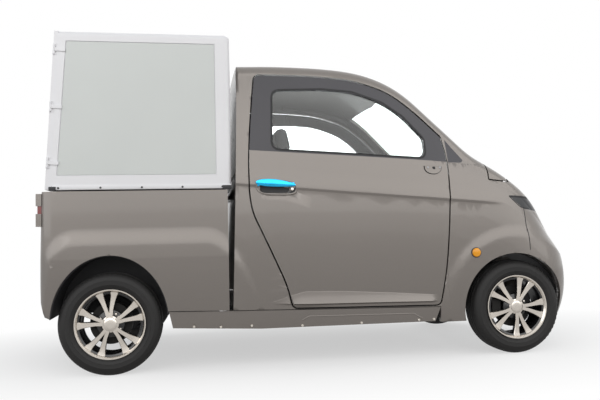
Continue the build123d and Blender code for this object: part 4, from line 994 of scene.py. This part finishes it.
def seat_pieces(side, word):
    y = side * seat_y
    base = padded_piece("seat_cushion_" + word, cushion_size,
                        Matrix.Translation((seat_x, y, 0.549)), (-0.35, 0.0, 0.35))
    lean = (Matrix.Translation((0.030 - datum_shift, y, 0.560))
            @ Matrix.Rotation(radians(back_lean), 4, "Y"))
    upright = Matrix.Rotation(radians(90), 4, "Y")
    padded_piece("seat_back_" + word, back_size,
                 lean @ Matrix.Translation((-0.0475, 0, 0.315)) @ upright, (-0.5, -0.1, 0.3))
    padded_piece("head_rest_" + word, head_size,
                 lean @ Matrix.Translation((-0.0475, 0, 0.735)) @ upright, (),
                 across=14, along=10)
    bm = bmesh.new()
    for dy in (-0.06, 0.06):
        tube(bm, [lean @ Vector((-0.0475, dy, h)) for h in (0.60, 0.69)], 0.006)
    add("head_rest_posts_" + word, bm, "body", steel)
    bm = bmesh.new()
    round_box(bm, (seat_x - 0.185, y - 0.178, 0.3125), (seat_x + 0.185, y + 0.178, 0.489),
              0.012, 3)
    add("seat_plinth_" + word, bm, "body", moulded)
    if side > 0:
        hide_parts("seats")


seat_pieces(1, "left")
seat_pieces(-1, "right")

# ---------------------------------------------------------------- steering wheel
# A steel ring in grained polyurethane foam, with three flat spokes and a stepped
# pad of black plastic, square to the leaning column.
wheel_at = (Matrix.Translation((0.440 - datum_shift, 0.265, 0.960))
            @ Matrix.Rotation(radians(115.0), 4, "Y"))
grip_r, grip_thick, grip_steps, pad_steps = 0.175, 0.0138, 72, 36
# Grained foam looks like soft leather, with small broken highlights.
leather = finish("wheel_rim_grained_cover", "#26272A", 0.5, vary=0.08, grain=900.0, bump=0.3)
dress(leather, "steering_wheel")
bm = bmesh.new()
tube(bm, [wheel_at @ Vector((grip_r * cos(2 * pi * k / grip_steps),
                             grip_r * sin(2 * pi * k / grip_steps), 0))
          for k in range(grip_steps)], grip_thick, 16, closed=True)
for a in (0.0, 2.2, -2.2):
    out, across = Vector((cos(a), sin(a), 0)), Vector((-sin(a), cos(a), 0))
    rows = []
    for r, half, thick in ((0.035, 0.030, 0.008), (0.09, 0.018, 0.006), (0.168, 0.013, 0.005)):
        rows.append([bm.verts.new(wheel_at @ (out * r + across * half * s
                                              + Vector((0, 0, thick * q + 0.004))))
                     for s, q in ((-1, -1), (1, -1), (1, 1), (-1, 1))])
    for i in range(len(rows) - 1):
        wall(bm, rows[i], rows[i + 1], 1)
    bm.faces.new(rows[0]).material_index = 1
    bm.faces.new(rows[-1]).material_index = 1
rings = []
for r, h in ((0.002, -0.016), (0.030, -0.015), (0.048, -0.009), (0.052, 0.002), (0.048, 0.014),
             (0.045, 0.027), (0.002, 0.027)):
    rings.append([bm.verts.new(wheel_at @ Vector((r * cos(2 * pi * k / pad_steps),
                                                  r * sin(2 * pi * k / pad_steps), h)))
                  for k in range(pad_steps)])
for i in range(len(rings) - 1):
    wall(bm, rings[i], rings[i + 1], 1)
bm.faces.new(rings[0]).material_index = 1
bm.faces.new(rings[-1]).material_index = 1
add("steering_wheel_grained", bm, "steering_wheel", [leather, moulded],
    stands_for=("steering_wheel",), smooth=40.0)

# ---------------------------------------------------------------- dashboard
# A grained grey moulding across the cab, with a dark glossy display let into it
# behind the steering wheel.
dash_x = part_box("dashboard")[0].x
# Moulded ABS with a coarse grain, which keeps it from mirroring in the windscreen.
grey_plastic = finish("cabin_grey_plastic", "#54585C", 0.55, vary=0.06, grain=650.0, bump=0.12)
dress(grey_plastic, "dashboard")
bm = bmesh.new()
round_box(bm, (dash_x - 0.003, 0.175, 1.022), (dash_x + 0.004, 0.355, 1.092), 0.003)
add("instrument_display", bm, "body", lamp_black)

# ---------------------------------------------------------------- air intake
# A black moulded intake with four flat slats and a raised edge, clipped to the nose
# low down and following its curve.
slat_rows, slat_columns = 17, 40
intake_low, intake_tall, intake_half = 0.375, 0.105, 0.30


def nose_x(y, z):
    hit = side_skin.ray_cast(Vector((2.5, y, z)), Vector((-1, 0, 0)))
    return hit[0].x if hit[0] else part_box("front_bumper")[1].x


bm = bmesh.new()
grid = []
for i in range(slat_rows + 1):
    f = i / slat_rows
    row = []
    for j in range(slat_columns + 1):
        g = -1.0 + 2.0 * j / slat_columns
        z = intake_low + intake_tall * f
        y = g * (intake_half + 0.045 * sin(pi * f))
        raised = i % 4 in (1, 2) or j in (1, slat_columns - 1)
        edge = i in (0, slat_rows) or j in (0, slat_columns)
        lift = -0.002 if edge else (0.0045 if raised else 0.0008)
        row.append(bm.verts.new((nose_x(y, z) + lift, y, z)))
    grid.append(row)
sheet(bm, grid)
add("air_intake", bm, "body", moulded, smooth=25.0, recalc=False)

# ---------------------------------------------------------------- tail
# A blank enamelled number plate stands on the tail panel, with a small black lamp
# above it. The tail lamps' red lenses are set into their painted blocks.
tail_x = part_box("tail_panel")[0].x
# Moulded acrylic in deep red, smooth and glossy.
red_lens = finish("red_lamp_lens", "#7A1014", 0.15, coat=0.6, vary=0.06, grain=120.0, bump=0.0)
# Enamel on a flat plate, nearly white.
plate_white = finish("blank_plate_enamel", "#E4E4E0", 0.4, vary=0.02, grain=200.0)
dress(red_lens, "tail_lenses")
bm = bmesh.new()
round_box(bm, (tail_x - 0.007, -0.26, 0.47), (tail_x + 0.004, 0.26, 0.58), 0.003)
add("rear_plate", bm, "body", plate_white)
bm = bmesh.new()
round_box(bm, (tail_x - 0.020, -0.07, 0.612), (tail_x + 0.004, 0.07, 0.646), 0.005)
add("rear_plate_lamp", bm, "body", moulded)

# ---------------------------------------------------------------- floor and room
# A white studio floor in a white room. Both are white to the camera and through
# glass, and the floor is dimmer in reflections. A soft shadow stays under the vehicle.
floor_half = 30
shadow_fade = {"From Min": 0.45, "From Max": 1.0, "To Min": 0.55, "To Max": 1.0}
floor_paint = bpy.data.materials.new("white_floor")
floor_paint.use_nodes = True
t = floor_paint.node_tree
t.nodes.clear()
rays = shader(t, "LightPath").outputs
# To every ray but the camera's the floor is a dark warm grey: painted shade that the lower body
# takes up in its reflections and bounced light.
shade = shader(t, "Mix", {"Factor": rays["Is Camera Ray"], "A": (0.30, 0.28, 0.26, 1),
                          "B": (0.88, 0.88, 0.88, 1)}, data_type="RGBA")
diffuse = shader(t, "BsdfDiffuse", {"Color": shade.outputs["Result"]})
where = shader(t, "TexCoord").outputs["Object"]
oval = shader(t, "Mapping", {"Vector": where, "Scale": (0.30, 0.62, 1.0)})
away = shader(t, "VectorMath", {0: oval.outputs["Vector"]}, operation="LENGTH")
fade = shader(t, "MapRange", {"Value": away.outputs["Value"], **shadow_fade})
seen = shader(t, "Math", {0: rays["Is Camera Ray"], 1: rays["Is Transmission Ray"]},
              operation="MAXIMUM")
dim = shader(t, "Math", {0: rays["Is Glossy Ray"], 1: 0.6}, operation="MULTIPLY")
most = shader(t, "Math", {0: seen.outputs["Value"], 1: dim.outputs["Value"]},
              operation="MAXIMUM")
both = shader(t, "Math", {0: most.outputs["Value"], 1: fade.outputs["Result"]},
              operation="MULTIPLY")
glow = shader(t, "Emission")
mix = shader(t, "MixShader", {"Fac": both.outputs["Value"], 1: diffuse.outputs["BSDF"],
                              2: glow.outputs["Emission"]})
shader(t, "OutputMaterial", {"Surface": mix.outputs["Shader"]})
floor_mesh = bpy.data.meshes.new("floor")
floor_mesh.from_pydata([(-floor_half, -floor_half, 0), (floor_half, -floor_half, 0),
                        (floor_half, floor_half, 0), (-floor_half, floor_half, 0)],
                       [], [(0, 1, 2, 3)])
floor_mesh.materials.append(floor_paint)
floor = bpy.data.objects.new("floor", floor_mesh)
bpy.context.scene.collection.objects.link(floor)

world = bpy.data.worlds.new("studio")
bpy.context.scene.world = world
world.use_nodes = True
t = world.node_tree
room = t.nodes["Background"]
room.inputs["Color"].default_value = (0.82, 0.86, 0.90, 1)
room.inputs["Strength"].default_value = 0.36
white = shader(t, "Background", {"Color": (1, 1, 1, 1), "Strength": 1.0})
rays = shader(t, "LightPath").outputs
seen = shader(t, "Math", {0: rays["Is Camera Ray"], 1: rays["Is Transmission Ray"]},
              operation="MAXIMUM")
most = shader(t, "Math", {0: seen.outputs["Value"], 1: rays["Is Glossy Ray"]},
              operation="MAXIMUM")
pick = shader(t, "MixShader", {"Fac": most.outputs["Value"], 1: room.outputs["Background"],
                               2: white.outputs["Background"]})
t.links.new(pick.outputs["Shader"], t.nodes["World Output"].inputs["Surface"])


# ---------------------------------------------------------------- lamps
# Large soft boxes: the key over the camera, a fill from the rear, and three weak
# ones that open up the top, the far side and the nose, and don't show in the paint.
def lamp(name, place, target, size, power, tint=(1, 1, 1), shines=True):
    data = bpy.data.lights.new(name, "AREA")
    data.shape = "RECTANGLE"
    data.size, data.size_y = size
    data.energy = power
    data.color = tint
    o = bpy.data.objects.new(name, data)
    o.location = place
    o.rotation_mode = "QUATERNION"
    o.rotation_quaternion = (Vector(target) - Vector(place)).to_track_quat("-Z", "Y")
    o.visible_glossy = shines
    bpy.context.scene.collection.objects.link(o)


lamp("key", (1.2, -4.8, 3.3), (0, -0.2, 0.8), (10.5, 5.0), 190.0, (1.0, 0.985, 0.96))
lamp("fill", (-4.0, -2.8, 2.4), (0, 0, 0.7), (5.0, 3.5), 66.0)
lamp("top", (0.0, 0.6, 4.6), (0, 0, 0.9), (5.0, 3.0), 16.0, shines=False)
lamp("far_side", (0.5, 4.5, 2.2), (0, 0, 0.8), (4.0, 2.2), 60.0, shines=False)
lamp("nose", (4.4, -1.2, 2.2), (1.0, 0, 0.8), (2.5, 2.0), 40.0, shines=False)

# ---------------------------------------------------------------- camera
# The photograph's viewpoint: low, a little behind the middle, turned by 9 degrees.
camera_at = (-0.7135, -4.135, 0.711)
forward = Vector((0.15966, 0.98577, 0.05268)).normalized()
yaw, roll = radians(-9.20), radians(-1.32)
level = Vector((cos(yaw), sin(yaw), 0.0))
above = level.cross(forward)
right = level * cos(roll) + above * sin(roll)
up = -level * sin(roll) + above * cos(roll)
data = bpy.data.cameras.new("camera")
data.lens, data.sensor_width = 38.4, 36.0
camera = bpy.data.objects.new("camera", data)
camera.matrix_world = Matrix((
    (right.x, up.x, -forward.x, camera_at[0]), (right.y, up.y, -forward.y, camera_at[1]),
    (right.z, up.z, -forward.z, camera_at[2]), (0, 0, 0, 1)))
bpy.context.scene.collection.objects.link(camera)
bpy.context.scene.camera = camera
bpy.context.scene.view_settings.view_transform = "Standard"
